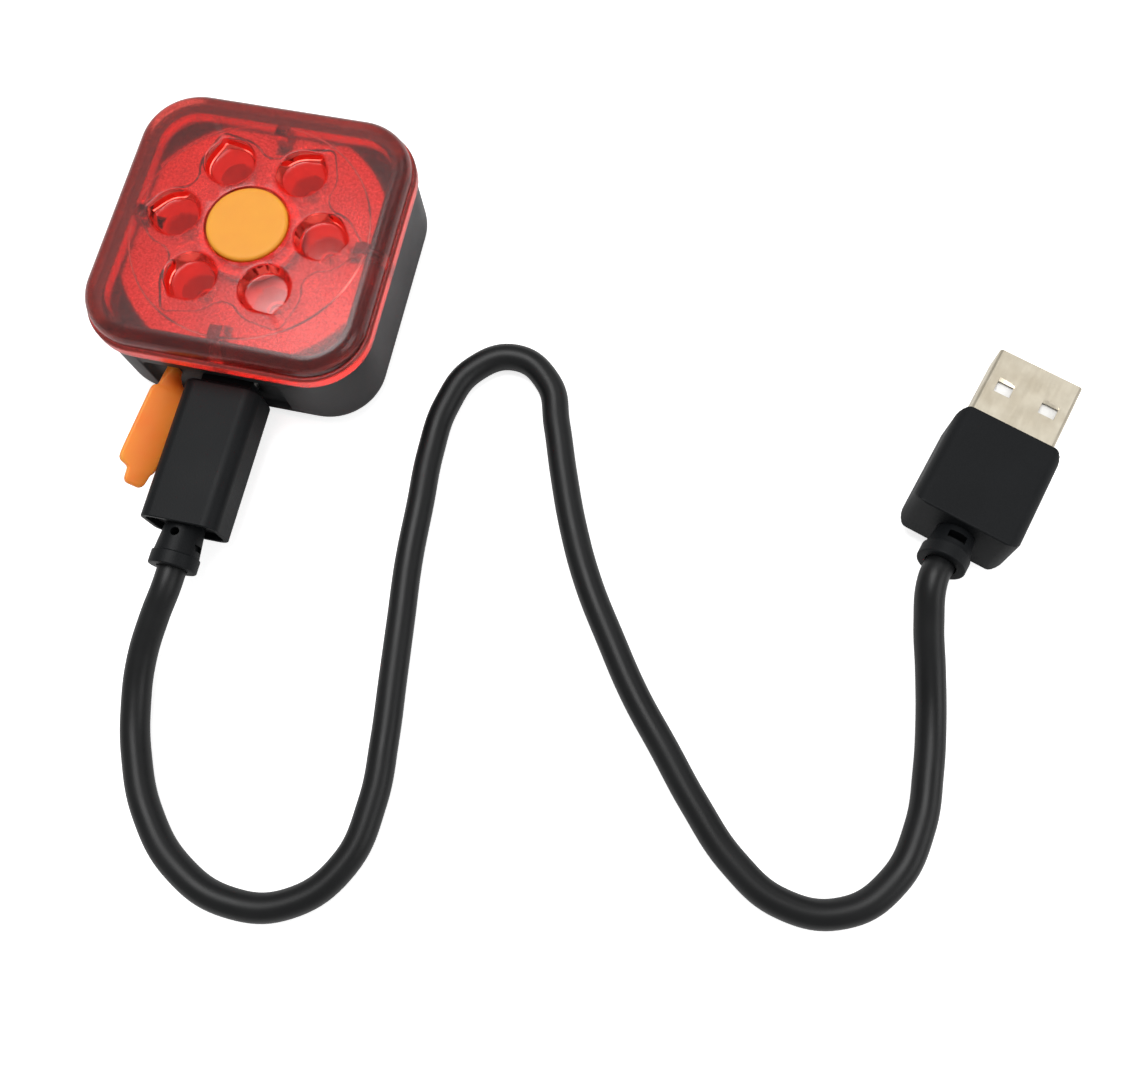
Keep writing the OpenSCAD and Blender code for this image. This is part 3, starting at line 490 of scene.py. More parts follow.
def clear_plastic(name, dark, light, filter_colour, rough_frosted, rough_polished, grain_depth_mm):
    """Refracting plastic whose frosted skin has a painted sparkle, speckled between two colours."""
    material, tree, shader = new_material(name)
    frosted = frosting_mask(tree)
    grain = add_node(tree, "ShaderNodeGroup", {"Grain Scale": 1 / (SPECKLE_MM * MM)},
                     node_tree=MOULDED).outputs["Grain"]
    # painted sparkle: the grain speckles the colour of the frosted skin, in place of glints of
    # light
    painted_sparkle = calculate(tree, "SUBTRACT", map_range(tree, grain, 0, 1), HALF)
    painted_sparkle = calculate(tree, "ADD", calculate(tree, "MULTIPLY", painted_sparkle, frosted), HALF)
    pits = calculate(tree, "MULTIPLY", grain, frosted)
    connect(tree, shader, {
        "Transmission Weight": 1, "IOR": ACRYLIC_IOR,
        "Base Color": mix_colours(tree, painted_sparkle, dark, light),
        "Roughness": map_range(tree, frosted, rough_polished, rough_frosted, 0, 1),
        "Normal": bump(tree, pits, grain_depth_mm)})
    rays = add_node(tree, "ShaderNodeLightPath").outputs
    through = add_node(tree, "ShaderNodeBsdfTransparent", {"Color": filter_colour})
    shown = mix_shaders(tree, rays["Is Shadow Ray"], shader.outputs[0], through.outputs[0])
    connect(tree, tree.nodes["Material Output"], {"Surface": shown})
    return material


# dark and light are the two colours of the painted sparkle on the frosted skin
lens_red = clear_plastic(
    "lens_red", dark=(0.42, 0.035, 0.027, 1), light=(1, 0.1, 0.075, 1),
    filter_colour=(0.82, 0.33, 0.28, 1), rough_frosted=0.26, rough_polished=0.1,
    grain_depth_mm=0.012)
set_plain(lens_red, {"Specular IOR Level": 0.45})
led_amber = clear_plastic(
    "led_amber", dark=(0.95, 0.70, 0.28, 1), light=(0.96, 0.74, 0.32, 1),
    filter_colour=(0.98, 0.85, 0.55, 1), rough_frosted=0.08, rough_polished=0.08,
    grain_depth_mm=0.0)
print("clear plastics:", lens_red.name, led_amber.name)

# %% [markdown]
# ## Copies of CAD pieces
# The housing, a tray with a charging recess, and the steel shell of the supply plug already have
# the right shape in the CAD part, so they aren't modelled again. But a CAD mesh is made of loose
# triangles, and smooth shading would blur across its edges. A copy is merged, its real edges are
# marked sharp, and the normals of its flat faces are kept flat up to the rounded ones.

# %% Plain meshes with crisp edges
SHARP_FROM = math.radians(32)
FLAT_FACE_WEIGHT = 100
MERGE_WITHIN, SLIVER = 2e-6, 1e-6


def plain_mesh(piece):
    """Turns an object with modifiers into one plain mesh."""
    ready = piece.evaluated_get(bpy.context.evaluated_depsgraph_get())
    mesh = bpy.data.meshes.new_from_object(ready)
    piece.modifiers.clear()
    piece.data = mesh


def crisp_edges(piece):
    """Splits the shading at real edges and keeps flat faces flat beside rounded ones."""
    piece.data.set_sharp_from_angle(angle=SHARP_FROM)
    normals = piece.modifiers.new("even_normals", "WEIGHTED_NORMAL")
    normals.weight = FLAT_FACE_WEIGHT
    normals.keep_sharp = True
    plain_mesh(piece)
    return piece


def new_piece(name, work):
    """An object from a bmesh, with smooth faces."""
    for face in work.faces:
        face.smooth = True
    mesh = bpy.data.meshes.new(name)
    work.to_mesh(mesh)
    work.free()
    piece = bpy.data.objects.new(name, mesh)
    scene.collection.objects.link(piece)
    return piece


def crisp_copy(node, name):
    work = bmesh.new()
    work.from_mesh(frame["nodes"][node].data)
    bmesh.ops.remove_doubles(work, verts=work.verts, dist=MERGE_WITHIN)
    bmesh.ops.dissolve_degenerate(work, edges=work.edges, dist=SLIVER)
    return crisp_edges(new_piece(name, work))


housing = crisp_copy("rear_housing", "housing")
supply_shell = crisp_copy("supply_plug_shell", "supply_shell")
print("edges of the housing:", len(housing.data.edges))

# %% [markdown]
# A finished piece gets its material. It is also told which body carries it, and the CAD pieces that
# it replaces are hidden.

# %% Fit the housing and the steel shell


def paint(piece, material):
    piece.data.materials.clear()
    piece.data.materials.append(material)


def fit(piece, material, body, slot, *nodes):
    """Gives a finished piece its material, its body and the CAD pieces that it replaces."""
    paint(piece, material)
    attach(piece, body)
    if nodes:
        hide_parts(*nodes)
    print(piece.name, "faces:", len(piece.data.polygons))


fit(housing, housing_grey, "light", "housing", "rear_housing")
fit(supply_shell, plug_steel, "charging_lead", "plug_steel", "supply_plug_shell")

# %% [markdown]
# ## Stacks of outlines
# The other hard pieces are rebuilt from their drawings, because each rounded edge on them shows
# as a line of light. A Bevel modifier could round them, but it makes every edge alike and breaks
# where two come close. So an outline, such as a rounded rectangle, becomes one ring of points,
# and a profile says how far the outline grows at each height.

# %% Outlines and profiles
# How far past its last corner a profile is drawn where only the direction there is needed.
BEYOND = 1


def rounded_profile(corners, steps=5):
    """A line through (x, z, radius) corners, with each corner rounded to its radius."""
    line = []
    for i, (x, z, radius) in enumerate(corners):
        here = Vector((x, z))
        if radius == 0 or i in (0, len(corners) - 1):
            line.append((x, z))
            continue
        before = (Vector(corners[i - 1][:2]) - here).normalized()
        after = (Vector(corners[i + 1][:2]) - here).normalized()
        half = before.angle(after) / 2
        centre = here + (before + after).normalized() * (radius / math.sin(half))
        start = here + before * (radius / math.tan(half)) - centre
        end = here + after * (radius / math.tan(half)) - centre
        turn = start.angle_signed(end)
        for step in range(steps + 1):
            line.append(tuple(centre + Matrix.Rotation(-turn * step / steps, 2) @ start))
    return line


def box_outline(half_x, half_y, radius, steps=14):
    """A rectangle with round corners, as points in millimetres."""
    points = []
    for corner, (x, y) in enumerate(((1, 1), (-1, 1), (-1, -1), (1, -1))):
        for step in range(steps + 1):
            angle = math.pi / 2 * (corner + step / steps)
            points.append((x * (half_x - radius) + radius * math.cos(angle),
                           y * (half_y - radius) + radius * math.sin(angle)))
    return points


def circle_outline(radius, steps=96):
    angles = [2 * math.pi * i / steps for i in range(steps)]
    return [(radius * math.cos(angle), radius * math.sin(angle)) for angle in angles]


print("a rounded rectangle has", len(box_outline(20, 10, 8)), "points")

# %% [markdown]
# Neighbouring rings are joined by strips of faces, and the flat ends are filled. A solid is then
# turned so that all its faces point outwards.

# %% Rings, strips and solids


def ring_of(work, outline, height, place=Matrix.Identity(4)):
    """Vertices of an outline at one height, moved to their place."""
    return [work.verts.new(place @ Vector((x, y, height)) * MM) for x, y in outline]


def strip(work, lower, upper):
    """Faces between two rings of the same number of vertices."""
    for i in range(len(lower)):
        j = (i + 1) % len(lower)
        work.faces.new((lower[i], lower[j], upper[j], upper[i]))


def stack(work, rings):
    for lower, upper in zip(rings, rings[1:]):
        strip(work, lower, upper)


def closed_stack(work, rings):
    stack(work, rings)
    for end in (rings[0], rings[-1]):
        work.faces.new(end)


def fill(work, rings):
    """Fills the flat area between an outer ring and the rings inside it."""
    edges = []
    for ring in rings:
        for a, b in zip(ring, ring[1:] + ring[:1]):
            edges.append(work.edges.get((a, b)) or work.edges.new((a, b)))
    bmesh.ops.triangle_fill(work, use_beauty=True, edges=edges, normal=(0, 0, 1))


def outward_piece(name, work):
    """An object from a bmesh whose faces are turned outwards first."""
    bmesh.ops.recalc_face_normals(work, faces=work.faces)
    return new_piece(name, work)


print("a strip round a rounded rectangle has", len(box_outline(20, 10, 8)), "faces")

# %% [markdown]
# ## The lens
# The lens is one clear moulding: a rounded square that changes size along a profile, with six
# drop-shaped wells sunk into its face. A circle and a flower are moulded on the inside as low
# steps. Their rounded edges bend the light, which draws them as fine lines through the face. A
# bump could only shade such lines, so they are real steps. All sizes are in millimetres.

# %% Drop outline of the wells
WELLS, WELL_AT = 6, 10.3
WELL_R, WELL_REACH, WELL_TIP = 3.6, 3.1, 0.9
TIP_STEPS = 12


def drop_outline(radius, reach, tip_radius, steps=40):
    """A circle drawn out along +X to a small round point."""
    flank = math.pi / 2 - math.asin((radius - tip_radius) / reach)
    points = []
    for step in range(TIP_STEPS + 1):
        angle = -flank + 2 * flank * step / TIP_STEPS
        points.append((reach + tip_radius * math.cos(angle), tip_radius * math.sin(angle)))
    for step in range(steps + 1):
        angle = flank + (2 * math.pi - 2 * flank) * step / steps
        points.append((radius * math.cos(angle), radius * math.sin(angle)))
    return points


print("a well has", len(drop_outline(WELL_R, WELL_REACH, WELL_TIP)), "points round its rim")

# %% [markdown]
# The flower has a pointed lobe round each well and a hollow valley between two lobes. It is drawn
# as a distance from the middle for each angle, which is the farthest of the shapes met there.

# %% Flower outline
LOBE_R, LOBE_REACH, LOBE_TIP = 4.7, 4.6, 1.2
FLOWER_R, VALLEY_R, VALLEY_AT = 12.2, 2.6, 14
HALF_LOBE = math.pi / WELLS


def circle_reach(centre, radius, side):
    """Far distance at which a ray, turned by side from the X axis, leaves a circle on that axis."""
    hit = radius ** 2 - (centre * math.sin(side)) ** 2
    return centre * math.cos(side) + math.sqrt(hit) if hit > 0 else 0


def flower_outline(shrink=0.0, steps=1080):
    """Six pointed lobes with hollow valleys between them."""
    lobe, tip, tip_at = LOBE_R - shrink, LOBE_TIP - shrink, WELL_AT + LOBE_REACH
    lean = math.asin((lobe - tip) / LOBE_REACH)
    points = []
    for i in range(steps):
        angle = 2 * math.pi * i / steps
        side = abs((angle + HALF_LOBE) % (2 * HALF_LOBE) - HALF_LOBE)
        dip = HALF_LOBE - side
        reach = FLOWER_R
        hit = (VALLEY_R + shrink) ** 2 - (VALLEY_AT * math.sin(dip)) ** 2
        if hit >= 0:
            reach = min(reach, VALLEY_AT * math.cos(dip) - math.sqrt(hit))
        reach = max(reach, circle_reach(WELL_AT, lobe, side), circle_reach(tip_at, tip, side))
        flank = (WELL_AT * math.sin(lean) + lobe) / math.sin(lean + side)
        flank_ends = tip_at + tip * math.sin(lean)
        if WELL_AT + lobe * math.sin(lean) < flank * math.cos(side) < flank_ends:
            reach = max(reach, flank)
        points.append((reach * math.cos(angle), reach * math.sin(angle)))
    return points


reaches = [math.hypot(x, y) for x, y in flower_outline()]
print("flower from", round(min(reaches), 2), "to", round(max(reaches), 2), "mm")

# %% [markdown]
# The outside is a profile from the foot of the skirt, which is hidden in the housing, over the
# foot flange and the side wall to the rounded rim. The wells are small stacks of drops with
# rounded rims and sides that lean in.

# %% Outside of the lens
BODY_W, BODY_H, BODY_R = 39, 13.2, 8
LENS_Z, LENS_OVERHANG, FOOT_H = 17.8, 0.5, 1.9
SKIRT_Z, SKIRT_HALF = 11.4, 17.65
FOOT_LOW_EDGE, FOOT_TOP_EDGE, FOOT_NOOK = 0.2, 0.45, 0.15
RIM_R, RIM_INSET = 1.9, 1.95
WELL_DRAFT, WELL_DEPTH = 0.7, 1.4
WELL_RIM_R, WELL_FLOOR_R, TIP_SHRINKS = 0.35, 0.3, 0.75


def lens_outside(work):
    """Skirt, foot, side wall and rounded top edge. Returns the skirt's foot and the face's edge."""
    foot, cap = BODY_W / 2 + LENS_OVERHANG, BODY_W / 2
    foot_top = BODY_H + FOOT_H
    profile = rounded_profile([
        (SKIRT_HALF, SKIRT_Z, 0), (SKIRT_HALF, BODY_H, 0), (foot, BODY_H, FOOT_LOW_EDGE),
        (foot, foot_top, FOOT_TOP_EDGE), (cap, foot_top, FOOT_NOOK), (cap, LENS_Z, RIM_R),
        (cap - RIM_INSET, LENS_Z, 0)], steps=8)
    rings = [ring_of(work, box_outline(half, half, BODY_R + half - cap), z) for half, z in profile]
    stack(work, rings)
    return rings[0], rings[-1]


def lens_wells(work):
    """Six wells with floors. Returns their rims."""
    profile = rounded_profile([
        (BEYOND, 0, 0), (0, 0, WELL_RIM_R), (-WELL_DRAFT, -WELL_DEPTH, WELL_FLOOR_R),
        (-WELL_DRAFT - BEYOND, -WELL_DEPTH, 0)], steps=6)[1:-1]
    out = Matrix.Translation((WELL_AT, 0, 0))
    rims = []
    for i in range(WELLS):
        place = Matrix.Rotation(2 * math.pi * i / WELLS, 4, "Z") @ out
        rings = []
        for grow, drop in profile:
            tip = WELL_TIP + max(grow, -TIP_SHRINKS)
            outline = drop_outline(WELL_R + grow, WELL_REACH, tip)
            rings.append(ring_of(work, outline, LENS_Z + drop, place))
        stack(work, rings)
        work.faces.new(rings[-1])
        rims.append(rings[0])
    return rims


print("lens:", BODY_W + 2 * LENS_OVERHANG, "mm square at its foot")

# %% [markdown]
# The inside is a plain cavity with the circle and the flower on its ceiling. All parts share
# their rings, so the lens is one closed skin, which clear plastic needs to bend light rightly.

# %% Lens mesh
LENS_WALL, FACE_Z = 2.7, 15.4
CIRCLE_R, STEP, STEP_LEAN, STEP_EDGE = 16.6, 0.6, 0.2, 0.15
BUTTON_HOLE_R, HOLE_EDGE = 5.8, 0.2


def lens_inside(work):
    """Cavity and steps. Returns the cavity's foot and the flower's edge."""
    half, radius = BODY_W / 2 - LENS_WALL, BODY_R - LENS_WALL
    cavity = [ring_of(work, box_outline(half, half, radius), z) for z in (SKIRT_Z, FACE_Z)]
    low, high = FACE_Z, FACE_Z + STEP
    step = rounded_profile([
        (-BEYOND, low, 0), (0, low, STEP_EDGE), (STEP_LEAN, high, STEP_EDGE),
        (STEP_LEAN + BEYOND, high, 0)])[1:-1]
    circle = [ring_of(work, circle_outline(CIRCLE_R - shrink, steps=180), z)
              for shrink, z in step]
    flower = [ring_of(work, flower_outline(STEP_LEAN - shrink), z) for shrink, z in reversed(step)]
    for rings in (cavity, circle, flower):
        stack(work, rings)
    fill(work, [cavity[1], circle[0]])
    fill(work, [circle[-1], flower[0]])
    return cavity[0], flower[-1]


def make_lens():
    work = bmesh.new()
    skirt_foot, face_edge = lens_outside(work)
    hole_profile = rounded_profile([
        (BUTTON_HOLE_R + BEYOND, LENS_Z, 0), (BUTTON_HOLE_R, LENS_Z, HOLE_EDGE),
        (BUTTON_HOLE_R, FACE_Z, 0)], steps=4)[1:]
    hole = [ring_of(work, circle_outline(radius), z) for radius, z in hole_profile]
    stack(work, hole)
    fill(work, [face_edge, hole[0]] + lens_wells(work))
    cavity_foot, flower_edge = lens_inside(work)
    strip(work, skirt_foot, cavity_foot)
    fill(work, [flower_edge, hole[-1]])
    print("open edges of the lens:", sum(not edge.is_manifold for edge in work.edges))
    return outward_piece("lens", work)


lens = make_lens()

# %% [markdown]
# Four ribs stiffen the walls and stand on the board, and show as short dark bars at the middle of
# each side. They cross the steps on the ceiling, so they are joined on with a Boolean, which
# works out where the surfaces meet.

# %% Lens ribs
RIB_W, LEG_L, LEG_AT, BOARD_TOP = 1.8, 1.4, 14.8, 9.15
RIB_INTO_WALL, RIB_INTO_FACE = 0.4, 0.8
QUARTER_TURN = Matrix.Rotation(math.pi / 2, 4, "X")


def combine(piece, tool, operation):
    """Joins a tool with a piece, or cuts it out of the piece."""
    change = piece.modifiers.new("combine", "BOOLEAN")
    change.operation, change.solver, change.object = operation, "EXACT", tool
    change.use_self = True
    plain_mesh(piece)
    work = bmesh.new()
    work.from_mesh(piece.data)
    bmesh.ops.dissolve_degenerate(work, edges=work.edges, dist=SLIVER)
    work.to_mesh(piece.data)
    work.free()
    piece.data.validate()
    bpy.data.objects.remove(tool)


def rib_tool():
    """Four ribs that join the walls and the face, and stand on the board."""
    work = bmesh.new()
    leg_out, wall = LEG_AT + LEG_L, BODY_W / 2 - LENS_WALL + RIB_INTO_WALL
    top = FACE_Z + RIB_INTO_FACE
    corners = [(LEG_AT, BOARD_TOP), (leg_out, BOARD_TOP), (leg_out, BODY_H), (wall, BODY_H),
               (wall, top), (LEG_AT, top)]
    for quarter in range(4):
        place = Matrix.Rotation(math.pi / 2 * quarter, 4, "Z") @ QUARTER_TURN
        closed_stack(work, [ring_of(work, corners, y, place) for y in (-RIB_W / 2, RIB_W / 2)])
    return outward_piece("rib_tool", work)


combine(lens, rib_tool(), "UNION")
crisp_edges(lens)
fit(lens, lens_red, "light", "lens", "lens_cover")

# %% [markdown]
# ## The reflector plate
# A white plate lies close under the lens and throws the light of the diodes forward. Seen from
# outside it is what makes the lens bright red, and the lens looks dark in the four corners that
# are cut off the plate. It is only seen blurred, so the CAD shape with crisp edges is enough.

# %% Reflector plate
reflector = crisp_copy("reflector_plate", "reflector")
fit(reflector, reflector_white, "light", "reflector", "reflector_plate")

# %% [markdown]
# ## The button
# A silicone disc with a soft edge, a hidden flange that holds it under the lens, and a short stem
# that meets the switch. Spin could turn its profile round the axis, but a stack of circles needs
# no seam to be closed afterwards.

# %% Button
BUTTON_R, BUTTON_Z, BUTTON_EDGE, BUTTON_FLAT = 5.6, 18.0, 0.5, 1
STEM_R, STEM_Z = 2.1, 13.65
FLANGE_R, FLANGE_Z, FLANGE_T, FLANGE_EDGE = 7.1, 14.4, 0.9, 0.1


def make_button():
    flange_top = FLANGE_Z + FLANGE_T
    profile = rounded_profile([
        (STEM_R, STEM_Z, 0), (STEM_R, FLANGE_Z, 0), (FLANGE_R, FLANGE_Z, FLANGE_EDGE),
        (FLANGE_R, flange_top, FLANGE_EDGE), (BUTTON_R, flange_top, 0),
        (BUTTON_R, BUTTON_Z, BUTTON_EDGE), (BUTTON_R - BUTTON_FLAT, BUTTON_Z, 0)], steps=6)
    work = bmesh.new()
    closed_stack(work, [ring_of(work, circle_outline(radius), z) for radius, z in profile])
    return crisp_edges(outward_piece("button", work))


fit(make_button(), button_silicone, "button", "button", "button_cap")

# %% [markdown]
# ## The two plugs
# Both plugs are black overmoulds, built as stacks of rounded rectangles along the cable's line.
# Cubes with a Bevel would do for the blocks, but not for what ends them: the small plug has a
# nose round its steel shell and a shallow hollow at the cable.

# %% Small plug body
PORT_Y, PORT_Z = -20.2, 6.8
SMALL_PLACE = Matrix.Translation((0, PORT_Y, PORT_Z)) @ QUARTER_TURN
SMALL_L, SMALL_HALF_W, SMALL_HALF_H, SMALL_CORNER = 20.2, 5.4, 3.8, 2
SMALL_FRONT_EDGE, SMALL_END_EDGE = 0.5, 0.15
NOSE_L, NOSE_STEP, NOSE_EDGE = 1.6, 1.7, 0.3
HOLLOW_RIM, HOLLOW_DEPTH, HOLLOW_EDGE = 0.7, 0.9, 0.12


def small_body(work):
    """From the nose round the steel shell to the hollow at the cable's end."""
    profile = rounded_profile([
        (-NOSE_STEP - BEYOND, -NOSE_L, 0), (-NOSE_STEP, -NOSE_L, NOSE_EDGE), (-NOSE_STEP, 0, 0),
        (0, 0, SMALL_FRONT_EDGE), (0, SMALL_L, SMALL_END_EDGE),
        (-HOLLOW_RIM, SMALL_L, HOLLOW_EDGE), (-HOLLOW_RIM, SMALL_L - HOLLOW_DEPTH, 0)])[1:]
    rings = []
    for grow, along in profile:
        outline = box_outline(SMALL_HALF_W + grow, SMALL_HALF_H + grow, SMALL_CORNER + grow)
        rings.append(ring_of(work, outline, along, SMALL_PLACE))
    closed_stack(work, rings)


print("small plug:", 2 * SMALL_HALF_W, "by", 2 * SMALL_HALF_H, "by", SMALL_L, "mm")

# %% [markdown]
# The supply plug lies tilted, because the cable lifts its tail. It has rounded corners in plan
# too, so its outlines are trimmed near both ends to follow them.

# %% Supply plug body
SUPPLY_L, SUPPLY_HALF_W, SUPPLY_HALF_H, SUPPLY_CORNER = 16.5, 7.3, 4, 1.6
SUPPLY_EDGE, PLAN_CORNER, PLAN_STOPS = 0.25, 1.9, (0.4, 0.7, 1.1, 1.5, 1.9)
SUPPLY_X, SUPPLY_Y, SUPPLY_TILT = 105, -5.5, math.radians(8)
SUPPLY_PLACE = (Matrix.Translation((SUPPLY_X, SUPPLY_Y, SUPPLY_HALF_H * math.cos(SUPPLY_TILT)))
                @ Matrix.Rotation(math.radians(-SUPPLY_TURN), 4, "Z")
                @ Matrix.Rotation(-SUPPLY_TILT, 4, "X") @ QUARTER_TURN)


def supply_outline(grow, along):
    """A rounded rectangle, trimmed to the round plan corners near the ends of the plug."""
    from_corner = max(PLAN_CORNER - min(along, SUPPLY_L - along), 0)
    half = SUPPLY_HALF_W - PLAN_CORNER + math.sqrt(PLAN_CORNER ** 2 - from_corner ** 2)
    outline = box_outline(SUPPLY_HALF_W + grow, SUPPLY_HALF_H + grow, SUPPLY_CORNER + grow)
    return [(min(max(x, -half), half), y) for x, y in outline]


def supply_body(work):
    front = rounded_profile([(-BEYOND, 0, 0), (0, 0, SUPPLY_EDGE), (0, BEYOND, 0)])[1:-1]
    front += [(0, along) for along in PLAN_STOPS]
    profile = front + [(grow, SUPPLY_L - along) for grow, along in reversed(front)]
    closed_stack(work, [ring_of(work, supply_outline(grow, along), along, SUPPLY_PLACE)
                        for grow, along in profile])


print("supply plug:", 2 * SUPPLY_HALF_W, "by", 2 * SUPPLY_HALF_H, "by", SUPPLY_L, "mm")

# %% [markdown]
# Each plug has a collar round the cable, with the small openings that the moulding pins leave.
# The openings are cut out with a Boolean, because they lie across the round neck.

# %% Collar and opening
NECK_R, NECK_END_R = 2.5, 3.0
LIP_R, LIP_L = 3.2, 1.9
CABLE_HOLE_R, CABLE_HOLE_DEPTH = 2.05, 1
NECK_NOOK, LIP_LOW_EDGE, LIP_TOP_EDGE, CABLE_HOLE_EDGE = 0.08, 0.15, 0.2, 0.1


def make_collar(name, place, start, end, openings):
    """A neck that widens to a lip round the cable, with openings cut into it."""
    lip = end - LIP_L
    profile = rounded_profile([
        (NECK_R, start, 0), (NECK_END_R, lip, NECK_NOOK), (LIP_R, lip, LIP_LOW_EDGE),
        (LIP_R, end, LIP_TOP_EDGE), (CABLE_HOLE_R, end, CABLE_HOLE_EDGE),
        (CABLE_HOLE_R, end - CABLE_HOLE_DEPTH, 0)])
    work = bmesh.new()
    closed_stack(work, [ring_of(work, circle_outline(radius, steps=64), along, place)
                        for radius, along in profile])
    collar = outward_piece(name, work)
    for outline, low, high, turn in openings:
        tool = bmesh.new()
        closed_stack(tool, [ring_of(tool, outline, height, place @ turn) for height in (low, high)])
        combine(collar, outward_piece("opening", tool), "DIFFERENCE")
    return collar


def opening(outline, low, high, along, turn=0.0):
    """An opening from low to high above the collar's axis, turned round that axis."""
    across = Matrix.Rotation(turn, 4, "Z") @ Matrix.Rotation(-math.pi / 2, 4, "X")
    return outline, low, high, Matrix.Translation((0, 0, along)) @ across


print("collar lip:", 2 * LIP_R, "mm across")

# %% Collars with their openings
AXIS, OUTSIDE = 0, 5
PIN_R, PIN_AT = 0.6, 21.3
NOTCH, NOTCH_FLOOR, NOTCH_AT = box_outline(1.2, 0.4, 0.1, steps=3), 2.1, 22.6
WINDOW, WINDOW_FLOOR, WINDOW_AT = box_outline(1.2, 0.6, 0.15, steps=3), 1, 18
pin_hole = opening(circle_outline(PIN_R, steps=32), AXIS, OUTSIDE, PIN_AT)
side_notches = [opening(NOTCH, NOTCH_FLOOR, OUTSIDE, NOTCH_AT, turn)
                for turn in (math.pi / 2, -math.pi / 2)]
small_collar = make_collar(
    "small_collar", SMALL_PLACE, start=18.8, end=25.8, openings=[pin_hole] + side_notches)
window = opening(WINDOW, WINDOW_FLOOR, OUTSIDE, WINDOW_AT)
supply_collar = make_collar(
    "supply_collar", SUPPLY_PLACE, start=16, end=21.3, openings=[window])
print("collar faces:", len(small_collar.data.polygons), len(supply_collar.data.polygons))

# %% Plugs from bodies and collars


def make_plug(name, build_body, collar):
    work = bmesh.new()
    build_body(work)
    bmesh.ops.recalc_face_normals(work, faces=work.faces)
    work.from_mesh(collar.data)
    bpy.data.objects.remove(collar)
    return crisp_edges(new_piece(name, work))


small_plug = make_plug("small_plug", small_body, small_collar)
fit(small_plug, overmould_black, "charging_lead", "overmould", "small_plug_body")
supply_plug = make_plug("supply_plug", supply_body, supply_collar)
fit(supply_plug, overmould_black, "charging_lead", "overmould", "supply_plug_body")

# %% [markdown]
# ## Small parts on the board
# Six light-emitting diodes stand in a ring under the wells, each with the same tinned joints, the
# same dark crystal in its cup and a resistor with tinned ends. Copies could be placed in a loop,
# but Geometry Nodes keeps such a ring as one rule: a circle of points carries one small block
# each, turned to face the middle.

# %% Node tree of a ring
RING_INPUTS = {"Count": "Int", "Radius": "Float", "Block Size": "Vector", "Move": "Vector",
               "Turn": "Vector"}


def ring_tree(material):
    """A node tree that repeats one block round a circle."""
    tree = bpy.data.node_groups.new("ring_of_parts", "GeometryNodeTree")
    tree.interface.new_socket("Geometry", in_out="OUTPUT", socket_type="NodeSocketGeometry")
    for name, kind in RING_INPUTS.items():
        tree.interface.new_socket(name, in_out="INPUT", socket_type="NodeSocket" + kind)
    given = tree.nodes.new("NodeGroupInput").outputs
    circle = add_node(tree, "GeometryNodeMeshCircle", {
        "Vertices": given["Count"], "Radius": given["Radius"]})
    block = add_node(tree, "GeometryNodeMeshCube", {"Size": given["Block Size"]})
    where = add_node(tree, "GeometryNodeInputPosition").outputs["Position"]
    facing = add_node(tree, "FunctionNodeAlignRotationToVector", {"Vector": where}, axis="X")
    placed = add_node(tree, "GeometryNodeInstanceOnPoints", {
        "Points": circle.outputs["Mesh"], "Instance": block.outputs["Mesh"],
        "Rotation": facing.outputs["Rotation"]})
    moved = add_node(tree, "GeometryNodeTransform", {
        "Geometry": placed.outputs["Instances"], "Translation": given["Move"],
        "Rotation": given["Turn"]})
    real = add_node(tree, "GeometryNodeRealizeInstances", {"Geometry": moved.outputs["Geometry"]})
    painted = add_node(tree, "GeometryNodeSetMaterial", {
        "Geometry": real.outputs["Geometry"], "Material": material})
    add_node(tree, "NodeGroupOutput", {"Geometry": painted.outputs["Geometry"]})
    return tree


print("inputs of a ring:", list(RING_INPUTS))

# %% Rings of parts
CUP_FLOOR = BOARD_TOP + 1.02
JOINT_SIZE, INNER_JOINTS_AT, OUTER_JOINTS_AT = (0.7, 2.2, 0.35), 8.3, 12.3
CRYSTAL_SIZE = (0.7, 0.7, 0.12)
RESISTOR_END_SIZE, RESISTORS_AT, RESISTOR_TURN = (1.3, 0.4, 0.54), 13.4, 3.5


def ring_of_parts(name, radius_mm, size_mm, height_mm, turn_degrees, material, slot):
    piece = bpy.data.objects.new(name, bpy.data.meshes.new(name))
    scene.collection.objects.link(piece)
    ring = piece.modifiers.new("ring", "NODES")
    ring.node_group = ring_tree(material)
    values = {"Count": WELLS, "Radius": radius_mm * MM,
              "Block Size": [size * MM for size in size_mm],
              "Move": (0, 0, (height_mm + size_mm[2] / 2) * MM),
              "Turn": (0, 0, math.radians(turn_degrees))}
    for item in ring.node_group.interface.items_tree:
        if item.name in values:
            ring[item.identifier] = values[item.name]
    plain_mesh(piece)
    fit(piece, material, "light", slot)


for name, radius in (("inner_joints", INNER_JOINTS_AT), ("outer_joints", OUTER_JOINTS_AT)):
    ring_of_parts(name, radius, JOINT_SIZE, BOARD_TOP, 0, solder_tin, "board")
ring_of_parts("light_crystals", WELL_AT, CRYSTAL_SIZE, CUP_FLOOR, 0, chip_black, "chip")
for name, turn in (("left_resistor_ends", RESISTOR_TURN), ("right_resistor_ends", -RESISTOR_TURN)):
    ring_of_parts(name, RESISTORS_AT, RESISTOR_END_SIZE, BOARD_TOP, turn, solder_tin, "resistor")

# %% [markdown]
# ## Pieces that stay as they are
# What lies inside, such as the cell, the switch and the socket, is hidden or seen only through
# the red lens. Those CAD pieces keep their meshes and get a finish.

